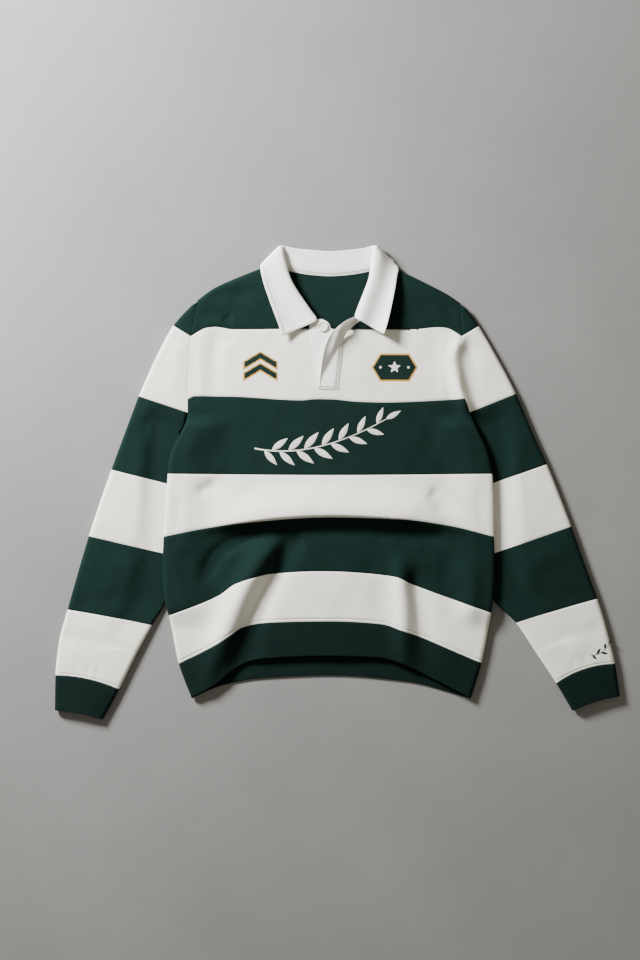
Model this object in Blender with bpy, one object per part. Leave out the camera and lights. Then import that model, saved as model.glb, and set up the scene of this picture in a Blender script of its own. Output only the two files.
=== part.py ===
"""A striped rugby sweatshirt with a turned-down collar, laid on its back with its front up.

Every table is in millimetres in the garment's own plan: x to the right of the centre front, y towards
the collar, from the seam under the chest stripe, and z up from the surface that it lies on.
Names end in _l or _r for the left or right as seen from above.
"""

import math
from collections import namedtuple

import bmesh
import bpy
import numpy as np

MM = 0.001
GARMENT = "sweatshirt"
# The middle of the whole outline, sleeves and all, as it lies from the centre front
OUTLINE_MIDDLE = (12.0, -3.61)

# Cloth
WALL = 2.4
COLLAR_WALL = 2.2
PLACKET_WALL = 1.4
SEAM_GAP = 0.3
HALF_GAP = SEAM_GAP / 2

# Heights of the laid garment
BODY_HEIGHT = 10.0
SLEEVE_HEIGHT = 10.0
SLEEVE_CROWN = 1.6
TUCKED_HEIGHT = 5.4
BODY_LIFT = 6.0
LIFT_SHARE_ON_TOP = 0.7

# Rolled edges where the front turns under into the back
ROLL_WIDTH = 9.0
SLEEVE_ROLL = 8.0
TUCKED_ROLL = 3.2
# The sleeve is pinched flat under the body up to the first distance from its inner edge, then fills out
TUCK_WIDTH = (24.0, 52.0)
FLAT_ROLL = 0.12
FULL_ROLL = math.pi / 2

GREEN = (0.010, 0.032, 0.026)
CREAM = (0.72, 0.71, 0.66)
COLLAR_CREAM = (0.80, 0.79, 0.77)
BUTTON_CREAM = (0.74, 0.70, 0.60)

UNDERARM = 111
SideRow = namedtuple("SideRow", "y left right")
BODY_SIDES = (
    SideRow(288, -218, 214),
    SideRow(236, -229, 216),
    SideRow(200, -232, 207),
    SideRow(177, -233, 210),
    SideRow(147, -234, 216),
    SideRow(133, -234, 221),
    SideRow(UNDERARM, -234, 229),
    SideRow(33, -264, 262),
    SideRow(0, -267, 267),
    SideRow(-93, -273, 269),
    SideRow(-137, -275, 270),
    SideRow(-200, -271, 267),
    SideRow(-223, -265, 264),
    SideRow(-302, -249, 249),
    SideRow(-359, -228, 232),
)

# Seams across the front, each from left to right as (x, y)
FRONT_SEAMS = {
    "yoke": (
        (-229, 236),
        (-218, 243),
        (-203, 250),
        (-188, 251.5),
        (-159, 247.5),
        (0, 248.5),
        (135, 247.5),
        (180, 251),
        (194, 249),
        (216, 236),
    ),
    "cream_1": (
        (-234, 133),
        (-222, 138),
        (-159, 137),
        (-47, 131),
        (-22, 133),
        (3, 132.5),
        (47, 128.5),
        (91, 127.5),
        (221, 133),
    ),
    "green_2": ((-263, 10), (0, 8), (265, 10)),
    "cream_3": ((-273, -93), (-214, -81), (-148, -71), (0, -61), (111, -64), (196, -75), (269, -93)),
    "green_4": (
        (-265, -223),
        (-183, -190),
        (-154, -170),
        (-100, -155),
        (-18, -150),
        (107, -159),
        (134, -171),
        (264, -218),
    ),
    "cream_5": (
        (-249, -302),
        (-207, -281),
        (-162, -254),
        (-146, -243),
        (-93, -234),
        (0, -232),
        (85, -237),
        (115, -246),
        (249, -301),
    ),
    "hem": (
        (-228, -358),
        (-190, -337),
        (-156, -310),
        (-138, -300),
        (-104, -293),
        (0, -289),
        (82, -292),
        (108, -298),
        (140, -312),
        (232, -359),
    ),
}
BACK_SEAMS = {
    "yoke": ((-229, 236), (0, 240), (216, 236)),
    "cream_1": ((-234, 133), (0, 133), (221, 133)),
    "green_2": ((-263, 10), (0, 8), (265, 10)),
    "cream_3": ((-273, -93), (0, -86), (269, -93)),
    "green_4": ((-265, -223), (0, -200), (264, -218)),
    "cream_5": ((-249, -302), (0, -268), (249, -301)),
    "hem": ((-228, -360), (-179, -339), (-116, -327), (0, -322), (126, -332), (232, -360)),
}

# The shoulder lines run from the armhole to the neck, and the neck seam from there to the placket
SHOULDER = {
    "l": ((-218, 296), (-192, 315), (-148, 335), (-115, 348), (-96, 355)),
    "r": ((214, 291), (199, 302), (158, 324), (114, 345), (95, 353)),
}
FRONT_NECK = {
    "l": ((-96, 355), (-86, 330), (-70, 300), (-50, 276), (-30, 259), (-5, 248)),
    "r": ((95, 353), (84, 330), (70, 298), (54, 270), (34, 255), (5, 248)),
}
BACK_NECK = (
    (-96, 355),
    (-82, 349),
    (-68, 344),
    (-34, 338),
    (0, 336),
    (34, 338),
    (68, 344),
    (82, 349),
    (95, 353),
)
NECK_CORNER = (84, 98)
# Where the middle of the neck would be if the shoulder lines ran on over it
NECK_CENTRE = (0, 372)

# Folds of the front. A path has a left and a right hand, as walked from its start to its end.
Fold = namedtuple("Fold", "start middle end height left_width right_width")
FOLDS = {
    "chest crown": Fold((0, 300), (0, 60), (0, -260), 2.6, 150, 150),
    "belly ridge": Fold((-250, -90), (0, -55), (252, -88), 18.5, 38, 11),
    "belly valley": Fold((-196, -104), (0, -80), (196, -102), -3.0, 9, 16),
    "hem tunnel": Fold((0, -110), (0, -220), (0, -360), 7.0, 88, 88),
    "left arc trough": Fold((-96, -88), (-178, -116), (-206, -184), -6.5, 12, 12),
    "left sweep": Fold((-70, -98), (-140, -176), (-196, -380), 11.0, 17, 15),
    "left inner trough": Fold((-44, -92), (-98, -158), (-142, -290), -3.0, 14, 12),
    "right sweep": Fold((112, -110), (119, -205), (122, -350), 9.0, 17, 15),
    "right trough": Fold((136, -136), (146, -210), (166, -320), -4.5, 13, 13),
    "right swell": Fold((222, -120), (232, -180), (226, -250), 3.0, 22, 18),
    "left chest ridge": Fold((-218, 250), (-217, 190), (-214, 110), 2.2, 10, 10),
    "left chest trough": Fold((-188, 262), (-188, 200), (-192, 120), -2.4, 12, 12),
    "right chest ridge": Fold((194, 250), (188, 190), (198, 110), 2.4, 12, 10),
    "left yoke trough": Fold((-232, 262), (-200, 272), (-160, 266), -2.0, 12, 12),
    "left neck trough": Fold((-214, 300), (-172, 309), (-110, 308), -2.0, 14, 14),
    "right yoke trough": Fold((188, 300), (203, 270), (214, 236), -2.2, 10, 12),
}
FOLD_EDGE_FADE = 34.0
FOLD_SHOULDER_FADE = 26.0
# The front's outer face in its deepest troughs, where the cloth just clears the back
LOWEST_FRONT = 6.2
TROUGH_SOFTNESS = 0.8
FOLD_STEPS = 16
FOLD_TAPER = 0.3
# Slopes of the front are measured this far to each side
SLOPE_REACH = 0.2

# Places along the body where it starts and stops lying over the sleeves
OVER_SLEEVE_TOP = (111, 84)
OVER_SLEEVE_BOTTOM = (-250, -206)
LIFT_FLAT = 27.0
LIFT_RAMP_END = 84.0

# Just past the underarm the sleeve's inner edge stays clear of the body's, until it is tucked under it
UNDERARM_ROW = 2
TUCK_ROW = 2.24
UNDERARM_CLEARANCE = 1.2
# Rows along each sleeve: outer edge, inner edge, and how far the row bows towards the shoulder
SleeveRow = namedtuple("SleeveRow", "at outer inner bow tucked")
SLEEVE_ROWS = {
    "l": (
        SleeveRow(0.0, (-229, 286), (-218, 293), 0, 0),
        SleeveRow(0.5, (-243, 272), (-223, 266), 0, 0),
        SleeveRow(1.0, (-258, 254), (-229, 236), 0, 0),
        SleeveRow(2.0, (-315, 138), (-234, 111), 0, 0),
        SleeveRow(TUCK_ROW, (-326, 109), (-246.5, 82), 0, 1),
        SleeveRow(2.6, (-342, 66), (-248, 33), 0, 1),
        SleeveRow(3.0, (-360, 17), (-249, -11), 0, 1),
        SleeveRow(4.0, (-397, -92), (-257, -125), 0, 1),
        SleeveRow(4.65, (-420, -170), (-271, -199), 0, 1),
        SleeveRow(5.0, (-432, -213), (-293, -239), 1, 0.3),
        SleeveRow(5.5, (-446, -266), (-318, -285), 3, 0),
        SleeveRow(6.0, (-452, -321), (-347, -344), 6, 0),
        SleeveRow(7.0, (-453, -379), (-374, -394), 3, 0),
    ),
    "r": (
        SleeveRow(0.0, (225, 281), (215, 288), 0, 0),
        SleeveRow(0.5, (235, 268), (216, 262), 0, 0),
        SleeveRow(1.0, (245, 253), (216, 236), 0, 0),
        SleeveRow(2.0, (306, 142), (229, 111), 0, 0),
        SleeveRow(TUCK_ROW, (318, 114), (242.5, 82), 0, 1),
        SleeveRow(2.6, (336, 72), (247, 33), 0, 1),
        SleeveRow(3.0, (357, 26), (249, -12), 0, 1),
        SleeveRow(4.0, (397, -76), (255, -126), 0, 1),
        SleeveRow(4.6, (422, -146), (267, -192), 0, 1),
        SleeveRow(5.0, (440, -195), (306, -235), 1, 0.3),
        SleeveRow(5.5, (456, -248), (339, -284), 4, 0),
        SleeveRow(6.0, (469, -302), (372, -334), 8, 0),
        SleeveRow(7.0, (477, -356), (399, -380), 4, 0),
    ),
}
# Pieces of a sleeve, between which of its rows, in how many steps, and whether the underarm closes them.
# Where there are no steps, the piece follows the rows of the body beside it.
SleevePiece = namedtuple("SleevePiece", "name start end steps closed colour")
SLEEVE_PIECES = (
    SleevePiece("cap", 0, 1, 3, False, GREEN),
    SleevePiece("cream_1", 1, 2, None, False, CREAM),
    SleevePiece("green_2", 2, 3, 6, True, GREEN),
    SleevePiece("cream_3", 3, 4, 4, True, CREAM),
    SleevePiece("green_4", 4, 5, 5, True, GREEN),
    SleevePiece("cream_5", 5, 6, 5, True, CREAM),
    SleevePiece("cuff", 6, 7, 3, True, GREEN),
)
# A narrow sleeve's outer roll is at most this share of its width
MOST_ROLL_SHARE = 0.62
# The crown of an open wall is this share of a tube's
OPEN_CROWN_SHARE = 0.4

# Collar: where it folds, where its leaf ends, and how far it lies on the front (1) or the surface (0)
CollarRow = namedtuple("CollarRow", "fold edge level")
COLLAR_LEFT = (
    CollarRow((-23.5, 264.5), (-76, 239), 1.0),
    CollarRow((-36, 276.5), (-82, 250), 1.0),
    CollarRow((-54.5, 302), (-97, 287), 1.0),
    CollarRow((-69.5, 328), (-109, 322), 1.0),
    CollarRow((-77, 358), (-113, 339), 1.0),
    CollarRow((-80, 374), (-114, 347), 0.95),
    CollarRow((-82, 383), (-114, 352), 0.72),
    CollarRow((-82, 386), (-112, 356), 0.40),
    CollarRow((-79, 386), (-106, 361), 0.12),
    CollarRow((-72, 385), (-98, 366), 0.0),
    CollarRow((-56, 381), (-72, 358), 0.0),
    CollarRow((-30, 378), (-36, 350), 0.0),
    CollarRow((0, 376), (0, 348), 0.0),
)
COLLAR_RIGHT = (
    CollarRow((30, 378), (36, 350), 0.0),
    CollarRow((52, 381), (70, 358), 0.0),
    CollarRow((67, 385), (96, 364), 0.0),
    CollarRow((74, 386), (104, 358), 0.12),
    CollarRow((77, 386), (110, 352), 0.40),
    CollarRow((76, 383), (112, 348), 0.72),
    CollarRow((75, 374), (112, 343), 0.95),
    CollarRow((72, 358), (110, 335), 1.0),
    CollarRow((66.5, 334), (107, 316), 1.0),
    CollarRow((56.5, 302), (102, 290), 1.0),
    CollarRow((48.5, 282), (95, 257), 1.0),
    CollarRow((40.5, 266.5), (90.5, 239.5), 1.0),
)
COLLAR_ROWS = COLLAR_LEFT + COLLAR_RIGHT
COLLAR_STEPS = 2
LEAF_COLUMNS = 5
# The leaf rises to its fold by this much, left and right
LEAF_RISES = (5.0, 9.0)
LEAF_RISE_WIDTH = 21.0
LEAF_CLEARANCE = 0.5
# The leaf's points stand off the front by this much, left and right, up to this share of its length
LEAF_POINT_RISES = (5.0, 11.0)
LEAF_POINT_SHARE = 0.18

# Stand: the band from the neck seam up to the fold, as (neck seam, fold) with the height of each edge
StandRow = namedtuple("StandRow", "neck fold neck_top fold_top")
STAND_ROWS = (
    StandRow((-36, 263.5), (-26.5, 270), 10.4, 13.6),
    StandRow((-50, 276.5), (-39, 283.5), 10.4, 13.8),
    StandRow((-70, 300.5), (-56.5, 306), 10.4, 13.6),
    StandRow((-85.6, 330), (-70.5, 330), 10.2, 13.8),
    StandRow((-94, 351), (-76, 356), 8.4, 13.0),
    StandRow((-95, 358), (-78, 371), 6.2, 12.0),
    StandRow((-89, 354), (-78, 380), 3.6, 9.6),
    StandRow((-81, 350.4), (-72, 380), 2.4, 7.6),
    StandRow((-68, 345.4), (-56, 378), 2.4, 7.0),
    StandRow((-34, 338.8), (-30, 375.5), 2.4, 7.0),
    StandRow((0, 336.4), (0, 373.5), 2.4, 7.0),
    StandRow((34, 338.8), (30, 375.5), 2.4, 7.0),
    StandRow((68, 345.4), (52, 378), 2.4, 7.0),
    StandRow((81, 350.4), (66, 380), 2.4, 7.6),
    StandRow((88, 353), (72, 380), 3.6, 9.6),
    StandRow((94, 356), (72, 371), 6.2, 12.0),
    StandRow((93, 349), (71, 356), 8.4, 13.0),
    StandRow((83.6, 330), (66, 332), 10.2, 13.8),
    StandRow((69.6, 298), (55.5, 302), 10.4, 13.6),
    StandRow((56, 273), (46.5, 282), 10.4, 13.8),
    StandRow((48.5, 266), (41.5, 273.5), 10.4, 12.8),
)
STAND_STEPS = 2
# The band is steep up to the first of these shares, where it has climbed by the second
STAND_STEEP_SHARE = 0.2
STAND_STEEP_CLIMB = 0.6
STAND_COLUMNS = (0.0, 0.1, STAND_STEEP_SHARE, 0.55, 1.0)

# Plackets, from the collar down, each row from its left to its right edge, and how far the left is lifted
PlacketRow = namedtuple("PlacketRow", "left right rise")
PLACKET_UNDER = (
    PlacketRow((-25, 264), (-12, 264), 0),
    PlacketRow((-34, 258), (-3, 258), 0),
    PlacketRow((-34, 250), (3.5, 250), 0),
    PlacketRow((-32, 240), (2, 240), 0),
    PlacketRow((-29, 216), (2, 216), 0),
    PlacketRow((-24, 180), (4, 180), 0),
    PlacketRow((-21, 152), (8, 152), 0),
)
PLACKET_OVER = (
    PlacketRow((40.5, 269), (46.5, 263), 0.4),
    PlacketRow((30, 263), (40, 256), 2.0),
    PlacketRow((18, 256), (33.5, 249), 5.0),
    PlacketRow((8, 248), (28, 243), 8.0),
    PlacketRow((1, 239), (24.5, 236), 10.0),
    PlacketRow((-5.5, 222), (20.5, 220), 10.0),
    PlacketRow((-10.5, 200), (18.5, 199), 8.0),
    PlacketRow((-14.5, 174), (15.5, 173), 3.2),
    PlacketRow((-18, 149), (13, 148), 0),
)
# The lifted part comes down at this slope, to a crease this soft
FLAP_SLOPE = 0.48
FLAP_SOFTNESS = 0.5
PLACKET_COLUMNS = 7
PLACKET_STEPS = 2

BUTTON_PLACE = (-12, 252)
BUTTON_RADIUS = 8.5
BUTTON_THICKNESS = 2.4
BUTTON_SIDES = 24
BUTTON_EDGE = 0.6
# The button's underside clears the placket under it by this much
BUTTON_CLEARANCE = 0.5

# The rolled edge of a panel depends on its place, which depends on the roll, so they are settled in turns
SETTLING_ROUNDS = 6

# Steps across a panel and round a sleeve
SLEEVE_FLAT_STEPS = 5
ROLL_STEPS = 3
FRONT_COLUMNS = np.linspace(0.0, 1.0, 21)
BACK_COLUMNS = np.array([0.0, 0.045, 0.08, 0.115, 0.16, 0.33, 0.5, 0.67, 0.84, 0.885, 0.92, 0.955, 1.0])
BACK_YOKE_COLUMNS = 25
# Shares down a panel, closer together at the ridge under the chest
PANEL_ROWS = {
    "cream_3": (0, 0.2, 0.4, 0.56, 0.7, 0.82, 0.92, 1),
    "green_4": (0, 0.06, 0.12, 0.19, 0.28, 0.4, 0.54, 0.69, 0.84, 1),
    "cream_5": (0, 0.2, 0.4, 0.6, 0.8, 1),
    "hem": (0, 0.25, 0.5, 0.75, 1),
}
# Where the rows of the panels beside the sleeves meet the side, so that both follow the same points
CREAM_1_ROWS = (236, 200, 177, 147, 133)
GREEN_2_ROWS = (133, 111, 97, 84, 60, 35, 10)
SLEEVE_CREAM_1_ROWS = (236, 200, 177, 147, 133, 111)
YOKE_ROWS = 5
STRIPES = ("cream_1", "green_2", "cream_3", "green_4", "cream_5", "hem")


def smooth_step(low, high, at):
    share = np.clip((np.asarray(at, float) - low) / (high - low), 0.0, 1.0)
    return share * share * (3.0 - 2.0 * share)


def spline(knots, values, at):
    """A smooth curve through the knots that never overshoots them, and runs on straight past its ends."""
    knots, values, at = (np.asarray(each, float) for each in (knots, values, at))
    steps = np.diff(knots)
    slopes = np.diff(values) / steps
    tangents = np.concatenate([slopes[:1], np.zeros(len(knots) - 2), slopes[-1:]])
    same_way = slopes[:-1] * slopes[1:] > 0
    early, late = 2 * steps[1:] + steps[:-1], steps[1:] + 2 * steps[:-1]
    safe = np.where(same_way, slopes[:-1] * slopes[1:], 1.0)
    mean = (early + late) * safe / np.where(same_way, early * slopes[1:] + late * slopes[:-1], 1.0)
    tangents[1:-1] = np.where(same_way, mean, 0.0)
    inside = np.clip(at, knots[0], knots[-1])
    index = np.clip(np.searchsorted(knots, inside, side="right") - 1, 0, len(steps) - 1)
    step, share = steps[index], (inside - knots[index]) / steps[index]
    first, second = values[index], values[index + 1]
    bend = (1 - share) * tangents[index] - share * tangents[index + 1]
    turn = second - first
    value = first + share * turn + share * (1 - share) * (step * bend + (2 * share - 1) * turn)
    past = at - inside
    return value + past * np.where(past < 0, tangents[0], tangents[-1])


def polyline(points, at):
    """The point at a share from 0 to 1 of the way along a smooth curve through the given points."""
    points = np.asarray(points, float)
    lengths = np.hypot(*np.diff(points, axis=0).T)
    knots = np.concatenate([[0.0], np.cumsum(lengths)]) / lengths.sum()
    return np.stack([spline(knots, points[:, axis], at) for axis in range(2)], axis=-1)


def body_side(y, side):
    """Where the body's edge or armhole is, straight between the rows of its table down to the underarm."""
    rows = BODY_SIDES[::-1]
    places, edges = [row.y for row in rows], [row.left if side == "l" else row.right for row in rows]
    return np.where(np.asarray(y) >= UNDERARM, np.interp(y, places, edges), spline(places, edges, y))


def seam_y(seam, x):
    points = np.asarray(seam, float)
    return spline(points[:, 0], points[:, 1], x)


def over_sleeve(y):
    """How far the body is lifted there by the sleeves under its edges, from 0 to 1."""
    return smooth_step(*OVER_SLEEVE_TOP, y) * smooth_step(*OVER_SLEEVE_BOTTOM, y)


def inside_edge(x, y):
    return np.minimum(x - body_side(y, "l"), body_side(y, "r") - x)


def below_shoulder(x, y):
    outline = np.array(SHOULDER["l"] + (NECK_CENTRE,) + SHOULDER["r"][::-1], float)
    return np.interp(x, outline[:, 0], outline[:, 1]) - y


def lift(x, y):
    """Height of the back's underside."""
    flat_then_down = 1.0 - smooth_step(LIFT_FLAT, LIFT_RAMP_END, inside_edge(x, y))
    return BODY_LIFT * over_sleeve(y) * flat_then_down


def fold_height(fold, x, y):
    share = np.linspace(0.0, 1.0, FOLD_STEPS + 1)[:, None]
    start, middle, end = (np.asarray(point, float) for point in fold[:3])
    handle = 2 * middle - (start + end) / 2
    path = (1 - share) ** 2 * start + 2 * share * (1 - share) * handle + share**2 * end
    run = np.diff(path, axis=0)
    from_path = np.stack([x, y], axis=-1)[..., None, :] - path[:-1]
    along = np.clip((from_path * run).sum(-1) / (run * run).sum(-1), 0.0, 1.0)
    away = from_path - along[..., None] * run
    distance = np.hypot(away[..., 0], away[..., 1])
    nearest = distance.argmin(-1)[..., None]
    distance = np.take_along_axis(distance, nearest, -1)[..., 0]
    along = np.take_along_axis(along, nearest, -1)[..., 0] + nearest[..., 0]
    crossed = run[:, 0] * away[..., 1] - run[:, 1] * away[..., 0]
    crossed = np.take_along_axis(crossed, nearest, -1)[..., 0]
    length = np.hypot(*run[nearest[..., 0]].transpose(-1, *range(np.ndim(x))))
    hand = crossed / (length * np.maximum(distance, 1e-6))
    width = (fold.left_width + fold.right_width) / 2 + hand * (fold.left_width - fold.right_width) / 2
    along = along / FOLD_STEPS
    taper = smooth_step(0, FOLD_TAPER, along) * smooth_step(0, FOLD_TAPER, 1 - along)
    return fold.height * taper * np.exp(-((distance / width) ** 2))


def front_height(x, y):
    """Height of the front's outer face above the surface that the garment lies on."""
    x, y = np.broadcast_arrays(np.asarray(x, float), np.asarray(y, float))
    folds = sum(fold_height(fold, x, y) for fold in FOLDS.values())
    fade = smooth_step(0, FOLD_EDGE_FADE, inside_edge(x, y))
    fade = fade * smooth_step(0, FOLD_SHOULDER_FADE, below_shoulder(x, y))
    spare = (BODY_HEIGHT - LOWEST_FRONT + fade * folds) / TROUGH_SOFTNESS
    above_lowest = TROUGH_SOFTNESS * np.logaddexp(0.0, spare)
    settled = TROUGH_SOFTNESS * np.logaddexp(0.0, (BODY_HEIGHT - LOWEST_FRONT) / TROUGH_SOFTNESS)
    return BODY_HEIGHT + above_lowest - settled + LIFT_SHARE_ON_TOP * lift(x, y)


def front_inside(x, y):
    """The point one wall inside the front's outer face."""
    slope_x = (front_height(x + SLOPE_REACH, y) - front_height(x - SLOPE_REACH, y)) / (2 * SLOPE_REACH)
    slope_y = (front_height(x, y + SLOPE_REACH) - front_height(x, y - SLOPE_REACH)) / (2 * SLOPE_REACH)
    inward = WALL / np.sqrt(1 + slope_x**2 + slope_y**2)
    return np.stack([x + slope_x * inward, y + slope_y * inward, front_height(x, y) - inward], axis=-1)


def material(name, colour, roughness):
    made = bpy.data.materials.new(name)
    made.use_nodes = True
    shader = made.node_tree.nodes["Principled BSDF"]
    shader.inputs["Base Color"].default_value = (*colour, 1.0)
    shader.inputs["Roughness"].default_value = roughness
    shader.inputs["Metallic"].default_value = 0.0
    return made


def add_object(name, mesh, colour, roughness=0.9):
    mesh.materials.append(material(name, colour, roughness))
    made = bpy.data.objects.new(name, mesh)
    bpy.data.collections[GARMENT].objects.link(made)
    made.parent = bpy.data.objects[GARMENT + "_place"]
    mesh.shade_smooth()
    mesh.set_sharp_from_angle(angle=math.radians(40))
    return made


def cloth_wall(name, outer, inner, colour, closed=False):
    """A wall of cloth between two grids of points. Where it is closed, its last column joins its first."""
    rows, columns = outer.shape[:2]
    points = np.concatenate([outer.reshape(-1, 3), inner.reshape(-1, 3)]) * MM
    index = np.arange(rows * columns).reshape(rows, columns)
    other = index + rows * columns
    across = np.arange(columns if closed else columns - 1)
    after = (across + 1) % columns
    faces = []
    for row in range(rows - 1):
        for here, there in zip(across, after):
            faces.append((index[row, here], index[row, there], index[row + 1, there], index[row + 1, here]))
            faces.append((other[row, here], other[row + 1, here], other[row + 1, there], other[row, there]))
    for row in (0, rows - 1):
        for here, there in zip(across, after):
            faces.append((index[row, here], other[row, here], other[row, there], index[row, there]))
    if not closed:
        for row in range(rows - 1):
            for column in (0, columns - 1):
                faces.append(
                    (index[row, column], index[row + 1, column], other[row + 1, column], other[row, column])
                )
    shell = bmesh.new()
    corners = [shell.verts.new(point) for point in points]
    for face in faces:
        shell.faces.new([corners[corner] for corner in face])
    bmesh.ops.recalc_face_normals(shell, faces=shell.faces)
    mesh = bpy.data.meshes.new(name)
    shell.to_mesh(mesh)
    shell.free()
    return add_object(name, mesh, colour)


def with_rolls(flat):
    """Adds columns from -1 to 0 and 1 to 2, over the rolled edges, to those over the flat of a panel."""
    roll = np.linspace(0.0, 1.0, ROLL_STEPS + 1)[1:]
    return np.concatenate([-roll[::-1], flat, 1 + roll])


def side_roll(y):
    """How far the edge of the body is rolled there, as the angle that its arc turns through."""
    return FLAT_ROLL + (FULL_ROLL - FLAT_ROLL) * smooth_step(*OVER_SLEEVE_TOP, y)


def panel_plan(seams, upper, lower, rows, columns):
    """Plan of a panel between two seams: x, y, the roll's angle at each point, and x at the inner face."""
    u, v = np.meshgrid(with_rolls(columns), rows)
    y = np.zeros_like(u)
    for _ in range(SETTLING_ROUNDS):
        full_turn = side_roll(y)
        margin = ROLL_WIDTH * np.sin(full_turn)
        left, right = body_side(y, "l") + margin, body_side(y, "r") - margin
        turn = full_turn * np.clip(np.maximum(-u, u - 1), 0, 1)
        outward = np.where(u < 0, -1, np.where(u > 1, 1, 0))
        flat_x = left + np.clip(u, 0, 1) * (right - left)
        x = flat_x + outward * ROLL_WIDTH * np.sin(turn)
        top, bottom = seam_y(seams[upper], x) - HALF_GAP, seam_y(seams[lower], x) + HALF_GAP
        if lower == STRIPES[-1]:
            bottom = seam_y(seams[lower], x)
        y = top + v * (bottom - top)
    inner_x = flat_x + outward * (ROLL_WIDTH - WALL) * np.sin(turn)
    return x, y, turn, inner_x


def armhole_panel_plan(seams, columns):
    """Plan of the panel between the armholes, which has no rolled edge, as panel_plan gives it."""
    places = np.array(CREAM_1_ROWS, float)
    sides = []
    for side, inward in (("l", 1), ("r", -1)):
        sides.append(np.stack([body_side(places, side) + inward * HALF_GAP, places], axis=-1))
    across = []
    for seam, row, shift in (("yoke", 0, -HALF_GAP), ("cream_1", -1, HALF_GAP)):
        x = sides[0][row, 0] + columns * (sides[1][row, 0] - sides[0][row, 0])
        across.append(np.stack([x, seam_y(seams[seam], x) + shift], axis=-1))
        sides[0][row], sides[1][row] = across[-1][0], across[-1][-1]
    u, v = np.meshgrid(columns, (places[0] - places) / (places[0] - places[-1]))
    patch = coons(across[0], across[1], sides[0], sides[1], u, v)
    return patch[..., 0], patch[..., 1], np.zeros_like(u), patch[..., 0]


def stripe_plan(seams, upper, stripe, columns):
    if stripe == "cream_1":
        return armhole_panel_plan(seams, columns)
    if stripe == "green_2":
        places = np.array(GREEN_2_ROWS, float)
        rows = (places[0] - places) / (places[0] - places[-1])
    else:
        rows = np.array(PANEL_ROWS[stripe], float)
    return panel_plan(seams, upper, stripe, rows, columns)


def edge_drop(y):
    """Half the thickness of the body at its edge, which is how far each rolled edge comes down or up."""
    thickness = BODY_HEIGHT - (1 - LIFT_SHARE_ON_TOP) * BODY_LIFT * over_sleeve(y)
    return (thickness - SEAM_GAP) / 2


def front_panel(stripe, upper, colour):
    x, y, turn, inner_x = stripe_plan(FRONT_SEAMS, upper, stripe, FRONT_COLUMNS)
    turned = 1 - np.cos(turn)
    outer = np.stack([x, y, front_height(x, y) - edge_drop(y) * turned], axis=-1)
    inner = front_inside(inner_x, y)
    inner[..., 2] -= (edge_drop(y) - WALL) * turned
    name = "hem_front" if stripe == "hem" else "front_" + stripe
    cloth_wall(name, outer, inner, colour)


def back_panel(stripe, upper, colour):
    x, y, turn, inner_x = stripe_plan(BACK_SEAMS, upper, stripe, BACK_COLUMNS)
    turned = 1 - np.cos(turn)
    outer = np.stack([x, y, lift(x, y) + edge_drop(y) * turned], axis=-1)
    inner_z = lift(inner_x, y) + WALL + (edge_drop(y) - WALL) * turned
    inner = np.stack([inner_x, y, inner_z], axis=-1)
    name = "hem_back" if stripe == "hem" else "back_" + stripe
    cloth_wall(name, outer, inner, colour)


def coons(top, bottom, start, end, u, v):
    """The patch between four curves, given at the shares u across and v down."""
    u, v = u[..., None], v[..., None]
    corners = (1 - v) * ((1 - u) * start[0] + u * end[0]) + v * ((1 - u) * start[-1] + u * end[-1])
    return (1 - v) * top[None] + v * bottom[None] + (1 - u) * start[:, None] + u * end[:, None] - corners


def rolled_rows(patch, turns, roll, thickness):
    """Puts rows above a patch, turned over along +Y by up to the given angles. Gives y, turn and inner y."""
    steps = np.linspace(1.0, 0.0, turns + 1)[:-1]
    turn = np.concatenate([steps[:, None] * roll[None], np.zeros(patch.shape[:2])])
    x = np.concatenate([np.repeat(patch[:1, :, 0], turns, axis=0), patch[..., 0]])
    flat_y = np.concatenate([np.repeat(patch[:1, :, 1], turns, axis=0), patch[..., 1]])
    y = flat_y + ROLL_WIDTH * np.sin(turn)
    inner_y = flat_y + (ROLL_WIDTH - thickness) * np.sin(turn)
    return x, y, turn, inner_y


def front_yoke(side):
    inward = 1 if side == "l" else -1
    first, last = BODY_SIDES[1].left + HALF_GAP, BODY_SIDES[1].right - HALF_GAP
    across = first + FRONT_COLUMNS * (last - first)
    centre = FRONT_NECK[side][-1][0]
    across = across[across < centre] if side == "l" else across[across > centre][::-1]
    steps = np.append(across - across[0], centre - across[0]) / (centre - across[0])
    rows = np.linspace(0.0, 1.0, YOKE_ROWS + 1)
    shoulder = polyline(SHOULDER[side], steps)
    shoulder[:, 1] -= ROLL_WIDTH
    neck = polyline(FRONT_NECK[side], rows)
    neck[:, 1] -= ROLL_WIDTH * (1 - rows)
    neck[-1, 1] = seam_y(FRONT_SEAMS["yoke"], neck[-1, 0])
    armhole_y = shoulder[0, 1] + rows * (FRONT_SEAMS["yoke"][0][1] - shoulder[0, 1])
    armhole = np.stack([body_side(armhole_y, side) + inward * HALF_GAP, armhole_y], axis=-1)
    shoulder[0, 0] = armhole[0, 0]
    seam_x = armhole[-1, 0] + steps * (neck[-1, 0] - armhole[-1, 0])
    seam = np.stack([seam_x, seam_y(FRONT_SEAMS["yoke"], seam_x)], axis=-1)
    armhole[-1] = seam[0]
    u, v = np.meshgrid(steps, rows)
    patch = coons(shoulder, seam, armhole, neck, u, v)
    patch[-1, :, 1] = seam_y(FRONT_SEAMS["yoke"], patch[-1, :, 0]) + HALF_GAP
    roll = np.full(len(steps), FULL_ROLL)
    x, y, turn, inner_y = rolled_rows(patch, ROLL_STEPS, roll, WALL)
    drop = (BODY_HEIGHT - SEAM_GAP) / 2
    turned = 1 - np.cos(turn)
    outer = np.stack([x, y, front_height(x, y) - drop * turned], axis=-1)
    inner = front_inside(x, inner_y)
    inner[..., 2] -= (drop - WALL) * turned
    cloth_wall("front_yoke_" + side, outer, inner, GREEN)


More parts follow.
